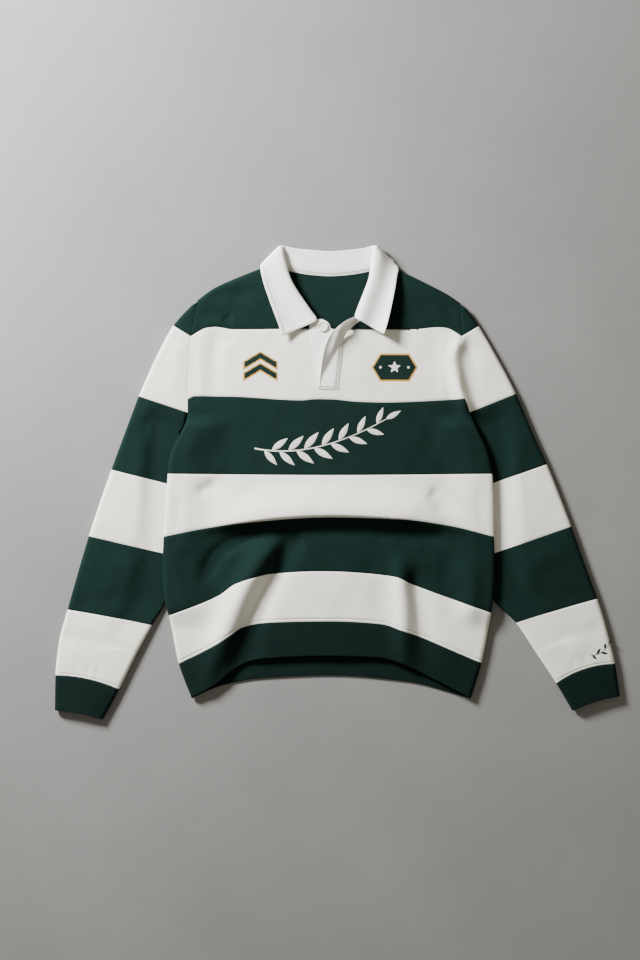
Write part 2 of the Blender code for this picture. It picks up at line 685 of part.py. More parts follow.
def back_yoke():
    outline = SHOULDER["l"] + BACK_NECK[1:-1] + SHOULDER["r"][::-1]
    steps = np.linspace(0.0, 1.0, BACK_YOKE_COLUMNS)
    rows = np.linspace(0.0, 1.0, YOKE_ROWS - 1)
    top = polyline(outline, steps)
    roll = FLAT_ROLL + (FULL_ROLL - FLAT_ROLL) * smooth_step(*NECK_CORNER, np.abs(top[:, 0]))
    top[:, 1] -= ROLL_WIDTH * np.sin(roll)
    edges = []
    for side, corner, inward in (("l", top[0], 1), ("r", top[-1], -1)):
        y = corner[1] + rows * (seam_y(BACK_SEAMS["yoke"], body_side(CREAM_1_ROWS[0], side)) - corner[1])
        edges.append(np.stack([body_side(y, side) + inward * HALF_GAP, y], axis=-1))
    top[0, 0], top[-1, 0] = edges[0][0, 0], edges[1][0, 0]
    seam_x = edges[0][-1, 0] + steps * (edges[1][-1, 0] - edges[0][-1, 0])
    seam = np.stack([seam_x, seam_y(BACK_SEAMS["yoke"], seam_x)], axis=-1)
    edges[0][-1], edges[1][-1] = seam[0], seam[-1]
    u, v = np.meshgrid(steps, rows)
    patch = coons(top, seam, edges[0], edges[1], u, v)
    patch[-1, :, 1] = seam_y(BACK_SEAMS["yoke"], patch[-1, :, 0]) + HALF_GAP
    x, y, turn, inner_y = rolled_rows(patch, ROLL_STEPS, roll, WALL)
    drop = (BODY_HEIGHT - SEAM_GAP) / 2
    turned = 1 - np.cos(turn)
    outer = np.stack([x, y, drop * turned], axis=-1)
    inner = np.stack([x, inner_y, WALL + (drop - WALL) * turned], axis=-1)
    cloth_wall("back_yoke", outer, inner, GREEN)


def sleeve_row(side, at):
    """Outer point, inner point, bow and tuck of the sleeve at a place along it."""
    rows = SLEEVE_ROWS[side]
    places = [row.at for row in rows]
    outer = np.array([spline(places, [row.outer[axis] for row in rows], at) for axis in range(2)])
    inner = np.array([spline(places, [row.inner[axis] for row in rows], at) for axis in range(2)])
    outward = -1 if side == "l" else 1
    if at <= UNDERARM_ROW:
        inner[1] = np.interp(at, places, [row.inner[1] for row in rows])
        inner[0] = body_side(inner[1], side) + outward * HALF_GAP
    elif at < TUCK_ROW:
        inner[0] = body_side(inner[1], side) + outward * UNDERARM_CLEARANCE
    bow = float(spline(places, [row.bow for row in rows], at))
    tucked = float(np.clip(spline(places, [row.tucked for row in rows], at), 0, 1))
    return outer, inner, bow, tucked


def sleeve_contour(width, tucked, closed, inset):
    """Distance from the outer edge and height of points round a flattened sleeve, one wall in if inset."""
    edge_height = SLEEVE_HEIGHT - tucked * (SLEEVE_HEIGHT - TUCKED_HEIGHT)
    roll = min(SLEEVE_ROLL, MOST_ROLL_SHARE * width)
    inner_roll = SLEEVE_ROLL - tucked * (SLEEVE_ROLL - TUCKED_ROLL)
    end = width - inner_roll if closed else width

    def top_height(place):
        from_inner = width - place
        rise = smooth_step(TUCK_WIDTH[0], TUCK_WIDTH[1], from_inner) if tucked > 0 else 1.0
        crown = SLEEVE_CROWN * np.sin(np.pi * np.clip(place / width, 0, 1))
        crown = crown * (1 if closed else OPEN_CROWN_SHARE)
        return edge_height + (SLEEVE_HEIGHT - edge_height) * rise + crown * rise

    flat = np.linspace(roll, end, SLEEVE_FLAT_STEPS)
    arc = np.linspace(-1, 1, 2 * ROLL_STEPS + 1) * math.pi / 2
    half = top_height(np.array(roll)) / 2
    outer_arc = (roll - (roll - inset) * np.cos(arc), half + (half - inset) * np.sin(arc))
    top = (flat[1:], top_height(flat[1:]) - inset)
    bottom = (flat[1:-1][::-1] if closed else flat[1:][::-1], None)
    bottom = (bottom[0], np.full(len(bottom[0]), float(inset)))
    if not closed:
        sides = (bottom, outer_arc, top)
        return np.concatenate([side[0] for side in sides]), np.concatenate([side[1] for side in sides])
    half_in = top_height(np.array(end)) / 2
    back_arc = arc[::-1]
    inner_places = end + (inner_roll - inset) * np.cos(back_arc)
    inner_arc = (inner_places, half_in + (half_in - inset) * np.sin(back_arc))
    places = np.concatenate([outer_arc[0], top[0][:-1], inner_arc[0], bottom[0]])
    heights = np.concatenate([outer_arc[1], top[1][:-1], inner_arc[1], bottom[1]])
    return places, heights


def sleeve_ring(side, at, closed, inset):
    outer, inner, bow, tucked = sleeve_row(side, at)
    along = inner - outer
    width = float(np.hypot(*along))
    along /= width
    upward = np.array([-along[1], along[0]]) * (1 if side == "l" else -1)
    places, heights = sleeve_contour(width, tucked, closed, inset)
    share = places / width
    plan = outer + places[:, None] * along + (4 * bow * share * (1 - share))[:, None] * upward
    return np.concatenate([plan, heights[:, None]], axis=1)


def sleeve_piece(side, piece):
    outer_points = {row.at: row.outer for row in SLEEVE_ROWS[side]}
    trim = HALF_GAP / math.dist(outer_points[piece.start], outer_points[piece.end])
    if piece.steps:
        places = np.linspace(piece.start, piece.end, piece.steps + 1)
    else:
        beside = np.array(SLEEVE_CREAM_1_ROWS, float)
        places = piece.start + (beside[0] - beside) / (beside[0] - beside[-1])
    if piece.start > min(outer_points):
        places[0] += trim
    if piece.end < max(outer_points):
        places[-1] -= trim
    outer = np.array([sleeve_ring(side, at, piece.closed, 0.0) for at in places])
    inner = np.array([sleeve_ring(side, at, piece.closed, WALL) for at in places])
    name = "cuff_" + side if piece.name == "cuff" else "sleeve_" + side + "_" + piece.name
    cloth_wall(name, outer, inner, piece.colour, closed=piece.closed)


def thick_sheet(name, middle, thickness, colour):
    """A wall round a middle surface, given as a grid of points."""
    down = np.gradient(middle, axis=0)
    across = np.gradient(middle, axis=1)
    normal = np.cross(down, across)
    normal *= thickness / 2 / np.linalg.norm(normal, axis=-1, keepdims=True)
    cloth_wall(name, middle + normal, middle - normal, colour)


def between_rows(values, steps):
    """A smooth curve through a table's rows, with the given number of steps between rows."""
    values = np.asarray(values, float)
    rows = np.arange(len(values))
    at = np.linspace(0, len(values) - 1, (len(values) - 1) * steps + 1)
    return np.stack([spline(rows, values[:, axis], at) for axis in range(values.shape[1])], axis=-1)


def collar_leaf():
    table = between_rows([(*row.fold, *row.edge, row.level) for row in COLLAR_ROWS], COLLAR_STEPS)
    share = np.linspace(0.0, 1.0, LEAF_COLUMNS)[None, :, None]
    plan = table[:, None, 0:2] + share * (table[:, None, 2:4] - table[:, None, 0:2])
    level = np.clip(table[:, None, 4], 0, 1)
    from_fold = np.hypot(*(plan - table[:, None, 0:2]).transpose(2, 0, 1))
    along = np.linspace(0.0, 1.0, len(table))
    fold_rise = LEAF_RISES[0] + (LEAF_RISES[1] - LEAF_RISES[0]) * smooth_step(0.45, 0.7, along)[:, None]
    rise = fold_rise * np.exp(-((from_fold / LEAF_RISE_WIDTH) ** 2))
    ends = zip(LEAF_POINT_RISES, (along, 1 - along))
    point_rise = sum(height * (1 - smooth_step(0, LEAF_POINT_SHARE, from_end)) for height, from_end in ends)
    point_rise = point_rise[:, None] * share[..., 0] ** 2
    on_front = front_height(plan[..., 0], plan[..., 1]) + LEAF_CLEARANCE + rise + point_rise
    height = COLLAR_WALL / 2 + level * on_front
    middle = np.concatenate([plan, height[..., None]], axis=-1)
    thick_sheet("collar_leaf", middle, COLLAR_WALL, COLLAR_CREAM)


def collar_stand():
    rows = [(*row.neck, *row.fold, row.neck_top, row.fold_top) for row in STAND_ROWS]
    table = between_rows(rows, STAND_STEPS)
    share = np.array(STAND_COLUMNS)[None, :, None]
    plan = table[:, None, 0:2] + share * (table[:, None, 2:4] - table[:, None, 0:2])
    steep = smooth_step(0, STAND_STEEP_SHARE, share[..., 0])
    climb = STAND_STEEP_CLIMB * steep + (1 - STAND_STEEP_CLIMB) * share[..., 0]
    height = table[:, None, 4] + climb * (table[:, None, 5] - table[:, None, 4]) - COLLAR_WALL / 2
    middle = np.concatenate([plan, height[..., None]], axis=-1)
    thick_sheet("collar_stand", middle, COLLAR_WALL, COLLAR_CREAM)


def flap_rise(rise, from_left):
    """How far a flap stands off at a distance from its left edge, where it is lifted by the given rise."""
    lifted = np.logaddexp(0.0, (rise - FLAP_SLOPE * from_left) / FLAP_SOFTNESS)
    unlifted = np.logaddexp(0.0, -FLAP_SLOPE * from_left / FLAP_SOFTNESS)
    return FLAP_SOFTNESS * (lifted - unlifted)


def placket(name, rows, clearance):
    table = between_rows([(*row.left, *row.right, row.rise) for row in rows], PLACKET_STEPS)
    share = np.linspace(0.0, 1.0, PLACKET_COLUMNS)[None, :]
    across = table[:, None, 2:4] - table[:, None, 0:2]
    plan = table[:, None, 0:2] + share[..., None] * across
    x, y = plan[..., 0], plan[..., 1]
    from_left = share * np.hypot(across[..., 0], across[..., 1])
    base = front_height(x, y) + clearance + flap_rise(table[:, 4:5], from_left)
    lower = np.stack([x, y, base], axis=-1)
    upper = np.stack([x, y, base + PLACKET_WALL], axis=-1)
    cloth_wall(name, upper, lower, COLLAR_CREAM)


def button():
    bpy.ops.mesh.primitive_cylinder_add(
        vertices=BUTTON_SIDES, radius=BUTTON_RADIUS * MM, depth=BUTTON_THICKNESS * MM
    )
    made = bpy.context.object
    mesh = made.data
    bpy.data.objects.remove(made)
    mesh.name = "button"
    disc = bmesh.new()
    disc.from_mesh(mesh)
    rim = [edge for edge in disc.edges if edge.calc_face_angle() > math.radians(45)]
    bmesh.ops.bevel(disc, geom=rim, offset=BUTTON_EDGE * MM, segments=2, affect="EDGES")
    disc.to_mesh(mesh)
    disc.free()
    made = add_object("button", mesh, BUTTON_CREAM, roughness=0.35)
    x, y = BUTTON_PLACE
    above_front = SEAM_GAP + PLACKET_WALL + BUTTON_CLEARANCE + BUTTON_THICKNESS / 2
    made.location = (x * MM, y * MM, (float(front_height(x, y)) + above_front) * MM)


def start_scene():
    for old in list(bpy.data.objects):
        bpy.data.objects.remove(old)
    garment = bpy.data.collections.new(GARMENT)
    bpy.context.scene.collection.children.link(garment)
    place = bpy.data.objects.new(GARMENT + "_place", None)
    place.location = (-OUTLINE_MIDDLE[0] * MM, -OUTLINE_MIDDLE[1] * MM, 0)
    garment.objects.link(place)


def main():
    start_scene()
    front_yoke("l")
    front_yoke("r")
    back_yoke()
    upper = "yoke"
    for stripe in STRIPES:
        colour = CREAM if stripe.startswith("cream") else GREEN
        front_panel(stripe, upper, colour)
        back_panel(stripe, upper, colour)
        upper = stripe
    for side in ("l", "r"):
        for piece in SLEEVE_PIECES:
            sleeve_piece(side, piece)
    collar_stand()
    collar_leaf()
    placket("placket_under", PLACKET_UNDER, SEAM_GAP)
    placket("placket_over", PLACKET_OVER, 2 * SEAM_GAP + PLACKET_WALL)
    button()


main()
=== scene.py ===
"""The looks of a striped rugby sweatshirt with a turned-down collar, laid on its back with its front up.

Every table is in millimetres in the garment's own plan: x to the right of the centre front, y towards
the collar, from the seam under the chest stripe, and z up from the surface that it lies on.
Names end in _l or _r for the left or right as seen from above.
"""

import math
from collections import namedtuple

import bmesh
import bpy
import numpy as np
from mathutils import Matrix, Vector
from mathutils.bvhtree import BVHTree
from mathutils.geometry import delaunay_2d_cdt


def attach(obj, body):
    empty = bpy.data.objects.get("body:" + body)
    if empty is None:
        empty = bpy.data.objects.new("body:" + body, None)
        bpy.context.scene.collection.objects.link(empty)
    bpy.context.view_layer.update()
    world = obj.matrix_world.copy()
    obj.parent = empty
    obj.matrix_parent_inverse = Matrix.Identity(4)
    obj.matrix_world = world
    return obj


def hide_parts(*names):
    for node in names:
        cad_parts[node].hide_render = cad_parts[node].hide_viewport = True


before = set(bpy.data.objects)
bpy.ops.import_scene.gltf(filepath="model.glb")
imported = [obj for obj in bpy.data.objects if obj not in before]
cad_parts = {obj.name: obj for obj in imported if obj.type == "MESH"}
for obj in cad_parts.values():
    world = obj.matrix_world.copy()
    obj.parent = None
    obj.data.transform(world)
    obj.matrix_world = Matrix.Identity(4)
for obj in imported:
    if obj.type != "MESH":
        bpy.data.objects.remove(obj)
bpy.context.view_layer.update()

MM = 0.001
# The middle of the whole outline, sleeves and all, as it lies from the centre front
OUTLINE_MIDDLE = (12.0, -3.61)

# Cloth
WALL = 2.4
COLLAR_WALL = 2.2
PLACKET_WALL = 1.4
SEAM_GAP = 0.3
# The seams are closer here than between the solids
HALF_GAP = 0.05

# Heights of the laid garment
BODY_HEIGHT = 10.0
SLEEVE_HEIGHT = 10.0
SLEEVE_CROWN = 1.6
TUCKED_HEIGHT = 5.4
BODY_LIFT = 9.5
LIFT_SHARE_ON_TOP = 0.7

# Rolled edges where the front turns under into the back
ROLL_WIDTH = 9.0
SLEEVE_ROLL = 8.0
TUCKED_ROLL = 3.2
# The sleeve is pinched flat under the body up to the first distance from its inner edge, then fills out
TUCK_WIDTH = (36.0, 72.0)
FLAT_ROLL = 0.12
FULL_ROLL = math.pi / 2

UNDERARM = 111
SideRow = namedtuple("SideRow", "y left right")
BODY_SIDES = (
    SideRow(288, -218, 214),
    SideRow(236, -229, 216),
    SideRow(200, -232, 207),
    SideRow(177, -233, 210),
    SideRow(147, -234, 216),
    SideRow(133, -234, 221),
    SideRow(UNDERARM, -234, 229),
    SideRow(33, -264, 262),
    SideRow(0, -267, 267),
    SideRow(-93, -273, 269),
    SideRow(-137, -275, 270),
    SideRow(-200, -271, 267),
    SideRow(-223, -265, 264),
    SideRow(-302, -249, 249),
    SideRow(-359, -228, 232),
)

# Seams across the front, each from left to right as (x, y)
FRONT_SEAMS = {
    "yoke": (
        (-229, 236),
        (-218, 243),
        (-203, 250),
        (-188, 251.5),
        (-159, 247.5),
        (0, 248.5),
        (135, 247.5),
        (180, 251),
        (194, 249),
        (216, 236),
    ),
    "cream_1": (
        (-234, 133),
        (-222, 138),
        (-159, 137),
        (-47, 131),
        (-22, 133),
        (3, 132.5),
        (47, 128.5),
        (91, 127.5),
        (221, 133),
    ),
    "green_2": ((-263, 10), (0, 8), (265, 10)),
    "cream_3": ((-273, -93), (-214, -81), (-148, -71), (0, -61), (111, -64), (196, -75), (269, -93)),
    "green_4": (
        (-265, -223),
        (-183, -190),
        (-154, -170),
        (-100, -155),
        (-18, -150),
        (107, -159),
        (134, -171),
        (264, -218),
    ),
    "cream_5": (
        (-249, -302),
        (-207, -281),
        (-162, -254),
        (-146, -243),
        (-93, -234),
        (0, -232),
        (85, -237),
        (115, -246),
        (249, -301),
    ),
    "hem": (
        (-228, -358),
        (-190, -337),
        (-156, -310),
        (-138, -300),
        (-104, -293),
        (0, -289),
        (82, -292),
        (108, -298),
        (140, -312),
        (232, -359),
    ),
}
BACK_SEAMS = {
    "yoke": ((-229, 236), (0, 240), (216, 236)),
    "cream_1": ((-234, 133), (0, 133), (221, 133)),
    "green_2": ((-263, 10), (0, 8), (265, 10)),
    "cream_3": ((-273, -93), (0, -86), (269, -93)),
    "green_4": ((-265, -223), (0, -200), (264, -218)),
    "cream_5": ((-249, -302), (0, -268), (249, -301)),
    "hem": ((-228, -360), (-179, -339), (-116, -327), (0, -322), (126, -332), (232, -360)),
}

# The shoulder lines run from the armhole to the neck, and the neck seam from there to the placket
SHOULDER = {
    "l": ((-218, 296), (-192, 315), (-148, 335), (-115, 348), (-96, 355)),
    "r": ((214, 291), (199, 302), (158, 324), (114, 345), (95, 353)),
}
FRONT_NECK = {
    "l": ((-96, 355), (-86, 330), (-70, 300), (-50, 276), (-30, 259), (-5, 248)),
    "r": ((95, 353), (84, 330), (70, 298), (54, 270), (34, 255), (5, 248)),
}
BACK_NECK = (
    (-96, 355),
    (-82, 349),
    (-68, 344),
    (-34, 338),
    (0, 336),
    (34, 338),
    (68, 344),
    (82, 349),
    (95, 353),
)
NECK_CORNER = (84, 98)
# Where the middle of the neck would be if the shoulder lines ran on over it
NECK_CENTRE = (0, 372)

# Folds of the front. A path has a left and a right hand, as walked from its start to its end.
Fold = namedtuple("Fold", "start middle end height left_width right_width")
FOLDS = {
    "chest crown": Fold((0, 300), (0, 60), (0, -260), 2.6, 150, 150),
    "belly ridge": Fold((-250, -90), (0, -55), (252, -88), 18.5, 38, 11),
    "belly valley": Fold((-196, -104), (0, -80), (196, -102), -3.0, 9, 16),
    "hem tunnel": Fold((0, -110), (0, -220), (0, -360), 2.0, 88, 88),
    "left arc trough": Fold((-96, -88), (-178, -116), (-206, -184), -6.5, 12, 12),
    "left sweep": Fold((-70, -98), (-140, -176), (-214, -380), 14.5, 22, 21),
    "left inner trough": Fold((-40, -92), (-96, -158), (-176, -372), -7.5, 20, 15),
    "right sweep": Fold((112, -110), (119, -205), (122, -350), 9.0, 17, 15),
    "right trough": Fold((136, -136), (146, -210), (166, -320), -5.5, 18, 13),
    "right swell": Fold((222, -120), (232, -180), (226, -250), 3.0, 22, 18),
    "left chest ridge": Fold((-218, 250), (-217, 190), (-214, 110), 2.2, 10, 10),
    "left chest trough": Fold((-188, 262), (-188, 200), (-192, 120), -2.4, 12, 12),
    "right chest ridge": Fold((194, 250), (188, 190), (198, 110), 2.4, 12, 10),
    "left yoke trough": Fold((-232, 262), (-200, 272), (-160, 266), -2.0, 12, 12),
    "left neck trough": Fold((-214, 300), (-172, 309), (-110, 308), -2.0, 14, 14),
    "right yoke trough": Fold((188, 300), (203, 270), (214, 236), -2.2, 10, 12),
}
FOLD_EDGE_FADE = 34.0
FOLD_SHOULDER_FADE = 26.0
# The front's outer face in its deepest troughs, where the cloth just clears the back
LOWEST_FRONT = 6.2
TROUGH_SOFTNESS = 0.8
FOLD_STEPS = 16
FOLD_TAPER = 0.3
FOLD_REACH = 2.6

# Places along the body where it starts and stops lying over the sleeves
OVER_SLEEVE_TOP = (111, 84)
OVER_SLEEVE_BOTTOM = (-250, -206)
LIFT_FLAT = 27.0
LIFT_RAMP_END = 84.0

# Just past the underarm the sleeve's inner edge stays clear of the body's, until it is tucked under it
UNDERARM_ROW = 2
TUCK_ROW = 2.24
UNDERARM_CLEARANCE = 1.2
# Rows along each sleeve: outer edge, inner edge, and how far the row bows towards the shoulder
SleeveRow = namedtuple("SleeveRow", "at outer inner bow tucked")
SLEEVE_ROWS = {
    "l": (
        SleeveRow(0.0, (-229, 286), (-218, 293), 0, 0),
        SleeveRow(0.5, (-243, 272), (-223, 266), 0, 0),
        SleeveRow(1.0, (-258, 254), (-229, 236), 0, 0),
        SleeveRow(2.0, (-315, 138), (-234, 111), 0, 0),
        SleeveRow(TUCK_ROW, (-326, 109), (-246.5, 82), 0, 1),
        SleeveRow(2.6, (-342, 66), (-248, 33), 0, 1),
        SleeveRow(3.0, (-360, 17), (-249, -11), 0, 1),
        SleeveRow(4.0, (-397, -92), (-257, -125), 0, 1),
        SleeveRow(4.65, (-420, -170), (-271, -199), 0, 1),
        SleeveRow(5.0, (-432, -213), (-293, -239), 1, 0.3),
        SleeveRow(5.5, (-446, -266), (-318, -285), 3, 0),
        SleeveRow(6.0, (-452, -321), (-347, -344), 6, 0),
        SleeveRow(7.0, (-453, -379), (-374, -394), 3, 0),
    ),
    "r": (
        SleeveRow(0.0, (225, 281), (215, 288), 0, 0),
        SleeveRow(0.5, (235, 268), (216, 262), 0, 0),
        SleeveRow(1.0, (245, 253), (216, 236), 0, 0),
        SleeveRow(2.0, (306, 142), (229, 111), 0, 0),
        SleeveRow(TUCK_ROW, (318, 114), (242.5, 82), 0, 1),
        SleeveRow(2.6, (336, 72), (247, 33), 0, 1),
        SleeveRow(3.0, (357, 26), (249, -12), 0, 1),
        SleeveRow(4.0, (397, -76), (255, -126), 0, 1),
        SleeveRow(4.6, (422, -146), (267, -192), 0, 1),
        SleeveRow(5.0, (440, -195), (306, -235), 1, 0.3),
        SleeveRow(5.5, (456, -248), (339, -284), 4, 0),
        SleeveRow(6.0, (469, -302), (372, -334), 8, 0),
        SleeveRow(7.0, (477, -356), (399, -380), 4, 0),
    ),
}
# A narrow sleeve's outer roll is at most this share of its width
MOST_ROLL_SHARE = 0.62
# The crown of an open wall is this share of a tube's
OPEN_CROWN_SHARE = 0.4

# Collar: where it folds, where its leaf ends, and how far it lies on the front (1) or the surface (0)
CollarRow = namedtuple("CollarRow", "fold edge level")
COLLAR_LEFT = (
    CollarRow((-22.5, 260.5), (-80, 235.5), 1.0),
    CollarRow((-34.3, 276), (-83.5, 250), 1.0),
    CollarRow((-51, 302), (-97, 287), 1.0),
    CollarRow((-65.3, 328), (-109, 322), 1.0),
    CollarRow((-75, 358), (-113, 339), 1.0),
    CollarRow((-80, 374), (-114, 347), 0.95),
    CollarRow((-82, 383), (-114, 352), 0.72),
    CollarRow((-82, 386), (-112, 356), 0.40),
    CollarRow((-79, 386), (-106, 361), 0.12),
    CollarRow((-72, 385), (-98, 366), 0.0),
    CollarRow((-56, 381), (-72, 358), 0.0),
    CollarRow((-30, 378), (-36, 350), 0.0),
    CollarRow((0, 376), (0, 348), 0.0),
)
COLLAR_RIGHT = (
    CollarRow((30, 378), (36, 350), 0.0),
    CollarRow((52, 381), (70, 358), 0.0),
    CollarRow((67, 385), (96, 364), 0.0),
    CollarRow((74, 386), (104, 358), 0.12),
    CollarRow((77, 386), (110, 352), 0.40),
    CollarRow((76, 383), (112, 348), 0.72),
    CollarRow((75, 374), (112, 343), 0.95),
    CollarRow((72, 358), (110, 335), 1.0),
    CollarRow((69, 334), (107, 316), 1.0),
    CollarRow((58.8, 302), (102, 290), 1.0),
    CollarRow((51, 280), (94, 256), 1.0),
    CollarRow((45.5, 262.8), (88.5, 238.5), 1.0),
)
COLLAR_ROWS = COLLAR_LEFT + COLLAR_RIGHT
LEAF_STEPS = 10
LEAF_COLUMNS = 34
FOLD_COLUMNS = 10
# The flat of the leaf starts this far inside its fold line, so that its roll ends there
FOLD_INSET = 3.2
# The roll reaches at most this far back to the stand, in plan
MOST_ROLL_REACH = 2.4
EDGE_INSET = 0.5
FOLD_TURN = 0.96 * math.pi
LEAF_RIM = 0.6
EDGE_LINE = 6.0
# The stitches across the leaf's ends run between these shares of its width
LEAF_END_SPAN = (0.1, 0.9)
STAND_LINE = 7.5
# The leaf rises to its fold by this much, left and right
LEAF_RISES = (5.0, 11.5)
LEAF_RISE_WIDTH = 21.0
LEAF_CLEARANCE = 0.5
# The leaf's points stand off the front by this much, left and right, up to this share of its length
LEAF_POINT_RISES = (8.5, 16.0)
LEAF_POINT_SHARE = 0.24

# Stand: the band from the neck seam up to the fold, as (neck seam, fold) with the height of each edge
StandRow = namedtuple("StandRow", "neck fold neck_top fold_top")
STAND_ROWS = (
    StandRow((-36, 263.5), (-26, 267.5), 10.4, 13.6),
    StandRow((-50, 276.5), (-37, 283), 10.4, 13.8),
    StandRow((-70, 300.5), (-53, 306), 10.4, 13.6),
    StandRow((-85.6, 330), (-66.5, 330), 10.2, 13.8),
    StandRow((-94, 351), (-74.5, 356), 8.4, 13.0),
    StandRow((-95, 358), (-78, 371), 6.2, 12.0),
    StandRow((-89, 354), (-78, 380), 3.6, 9.6),
    StandRow((-81, 350.4), (-72, 380), 2.4, 7.6),
    StandRow((-68, 345.4), (-56, 378), 2.4, 7.0),
    StandRow((-34, 338.8), (-30, 375.5), 2.4, 7.0),
    StandRow((0, 336.4), (0, 373.5), 2.4, 7.0),
    StandRow((34, 338.8), (30, 375.5), 2.4, 7.0),
    StandRow((68, 345.4), (52, 378), 2.4, 7.0),
    StandRow((81, 350.4), (66, 380), 2.4, 7.6),
    StandRow((88, 353), (72, 380), 3.6, 9.6),
    StandRow((94, 356), (72, 371), 6.2, 12.0),
    StandRow((93, 349), (71, 356), 8.4, 13.0),
    StandRow((83.6, 330), (68.5, 332), 10.2, 13.8),
    StandRow((69.6, 298), (58, 302), 10.4, 13.6),
    StandRow((58, 273), (49.5, 281), 10.4, 13.8),
    StandRow((53, 264), (46, 269.5), 10.4, 12.8),
)
# The band is steep up to the first of these shares, where it has climbed by the second
STAND_STEEP_SHARE = 0.2
STAND_STEEP_CLIMB = 0.6
# Columns of the stand's steep part and of the rest
STAND_COLUMNS = (6, 19)

# Plackets, from the collar down, each row from its left to its right edge, and how far the left is lifted
PlacketRow = namedtuple("PlacketRow", "left right rise")
PLACKET_UNDER = (
    PlacketRow((-25, 264), (-12, 264), 0),
    PlacketRow((-34, 258), (-3, 258), 0),
    PlacketRow((-34, 250), (1.2, 250), 0),
    PlacketRow((-32, 240), (4.6, 241), 0),
    PlacketRow((-29, 216), (2, 216), 0),
    PlacketRow((-24, 180), (4, 180), 0),
    PlacketRow((-21, 152), (8, 152), 0),
)
PLACKET_OVER = (
    PlacketRow((43.5, 268.5), (50, 262), 1.4),
    PlacketRow((30.5, 263), (42, 256), 6.5),
    PlacketRow((19.5, 255.5), (35, 249), 11.5),
    PlacketRow((10, 247.5), (29, 243), 14.0),
    PlacketRow((1.8, 239), (24.5, 236), 14.0),
    PlacketRow((-6.8, 222), (20.5, 220), 12.5),
    PlacketRow((-12.3, 200), (18.5, 199), 8.5),
    PlacketRow((-16, 174), (15.5, 173), 3.2),
    PlacketRow((-18.5, 149), (13, 148), 0),
)
# The lifted part comes down at this slope, to a crease this soft
FLAP_SLOPE = 0.56
FLAP_SOFTNESS = 0.5

BUTTON_PLACE = (-12, 252)
BUTTON_THICKNESS = 2.4
# The button's outline from the middle of its back, round its rim, to its face, as (radius, height)
BUTTON_PROFILE = (
    *((0.0, -1.2), (7.4, -1.2), (8.3, -0.6), (8.5, 0.1), (8.2, 0.8)),
    *((7.4, 1.2), (6.4, 0.8), (5.4, 0.25), (3.0, 0.1), (0.0, 0.0)),
)

# Steps of the fine cloth
SLEEVE_FLAT_STEPS = 44
ROLL_STEPS = 9
SETTLING_ROUNDS = 6
PLACKET_FINE_STEPS = 16
PLACKET_COLUMNS = 26
# Lines of stitches: from a placket's free edge, from its sewn edge, and above its end
PLACKET_LINE = 2.6
PLACKET_LINES = (1.2, 4.4)
PLACKET_BOX = 9.5
# The hem's line ends this far from the sides, and a cuff's runs at this row of its sleeve
HEM_LINE_INSET = 12
CUFF_LINE_ROW = 5.94
PLACKET_FINE_WALL = 1.0
SEWN_WIDTH = 7.0
SEWN_CLEARANCE = 0.1
STRIPES = ("cream_1", "green_2", "cream_3", "green_4", "cream_5", "hem")
# Pieces of a sleeve, between which of its rows, and whether the underarm closes them
SLEEVE_PIECES = (
    ("cap", 0, 1, False),
    ("cream_1", 1, 2, False),
    ("green_2", 2, 3, True),
    ("cream_3", 3, 4, True),
    ("green_4", 4, 5, True),
    ("cream_5", 5, 6, True),
    ("cuff", 6, 7, True),
)
BODY_HALF = 250.0
YOKE_LENGTH = 90.0
YOKE_SIDE = 236
SLEEVE_DIP = 0.9
ARMHOLE_SHARE = 0.45
# A ridge of the front along the right armhole: its height, its width, and its place inside the seam
ARMHOLE_RIDGE = 8.5
ARMHOLE_RIDGE_WIDTH = 12.0
ARMHOLE_RIDGE_INSIDE = 4.0
ARMHOLE_RIDGE_TOP = (252, 218)
ARMHOLE_RIDGE_BOTTOM = (92, 132)
ARMHOLE_RIDGE_GROWTH = 0.7
RIM_SHARE = 0.42
ALL_EDGES = ("first", "last", "left", "right")
BUTTON_SIDES = 48
# Widths of a wale of the knit, a rib, a line of the twill and a thread, in millimetres
KNIT_WALE = 1.1
RIB = 2.2
TWILL_LINE = 0.9
THREAD_WIDTH = 0.5
# A wave texture at scale 1 repeats this often in one unit
WAVE_REPEAT = 3.1831
Finish = namedtuple("Finish", "slot material")
FINISHES = {}
# The cloth made for each node, and the pieces sewn or printed on it
CLOTH = {}
ON_CLOTH = {}

# Designs: generic shapes
PRINT_LIFT = 0.05
PRINT_SPACING = 2.0
PRINT_EDGE = 1.2
CHEVRON_MIDDLE = -114.5
CHEVRON_TOPS = (210.0, 191.5)
CHEVRON_HALF = 27.0
CHEVRON_DROP = 16.0
CHEVRON_BAND = 11.0
GOLD_EDGE = 1.5
BADGE_PLACE = (106, 185)
BADGE_HALF = (38.0, 23.0)
BADGE_CORNER = 14.0
BADGE_RIM = 1.8
STAR_RADII = (14.0, 6.0)
STAR_POINTS = 5
SIDE_DIAMOND = 23.0
DIAMOND_HALF = (3.4, 5.0)
BRANCH_STEM = ((-124, 52), (-22, 54), (92, 100))
BRANCH_LEAVES = 15
STEM_STEPS = 96
BRANCH_LEAF = (36.0, 11.0)
BRANCH_STEM_WIDTH = 2.4
BRANCH_TURN = 0.72
SPRIG_STEM = ((428, -287), (444, -284), (458, -270))
SPRIG_LEAVES = 5
SPRIG_LEAF = (12.0, 4.2)
SPRIG_STEM_WIDTH = 1.2
LEAF_STEPS_ROUND = 13

# What each piece of cloth was cut to, in metres, all round on a tube, and the piece that it lies on
Cut = namedtuple("Cut", "node width length area on")

# Stitches: their length and the gap between them
STITCH_LENGTH = 2.3
STITCH_GAP = 1.0
STITCH_RADIUS = 0.26
STITCH_SIDES = 6

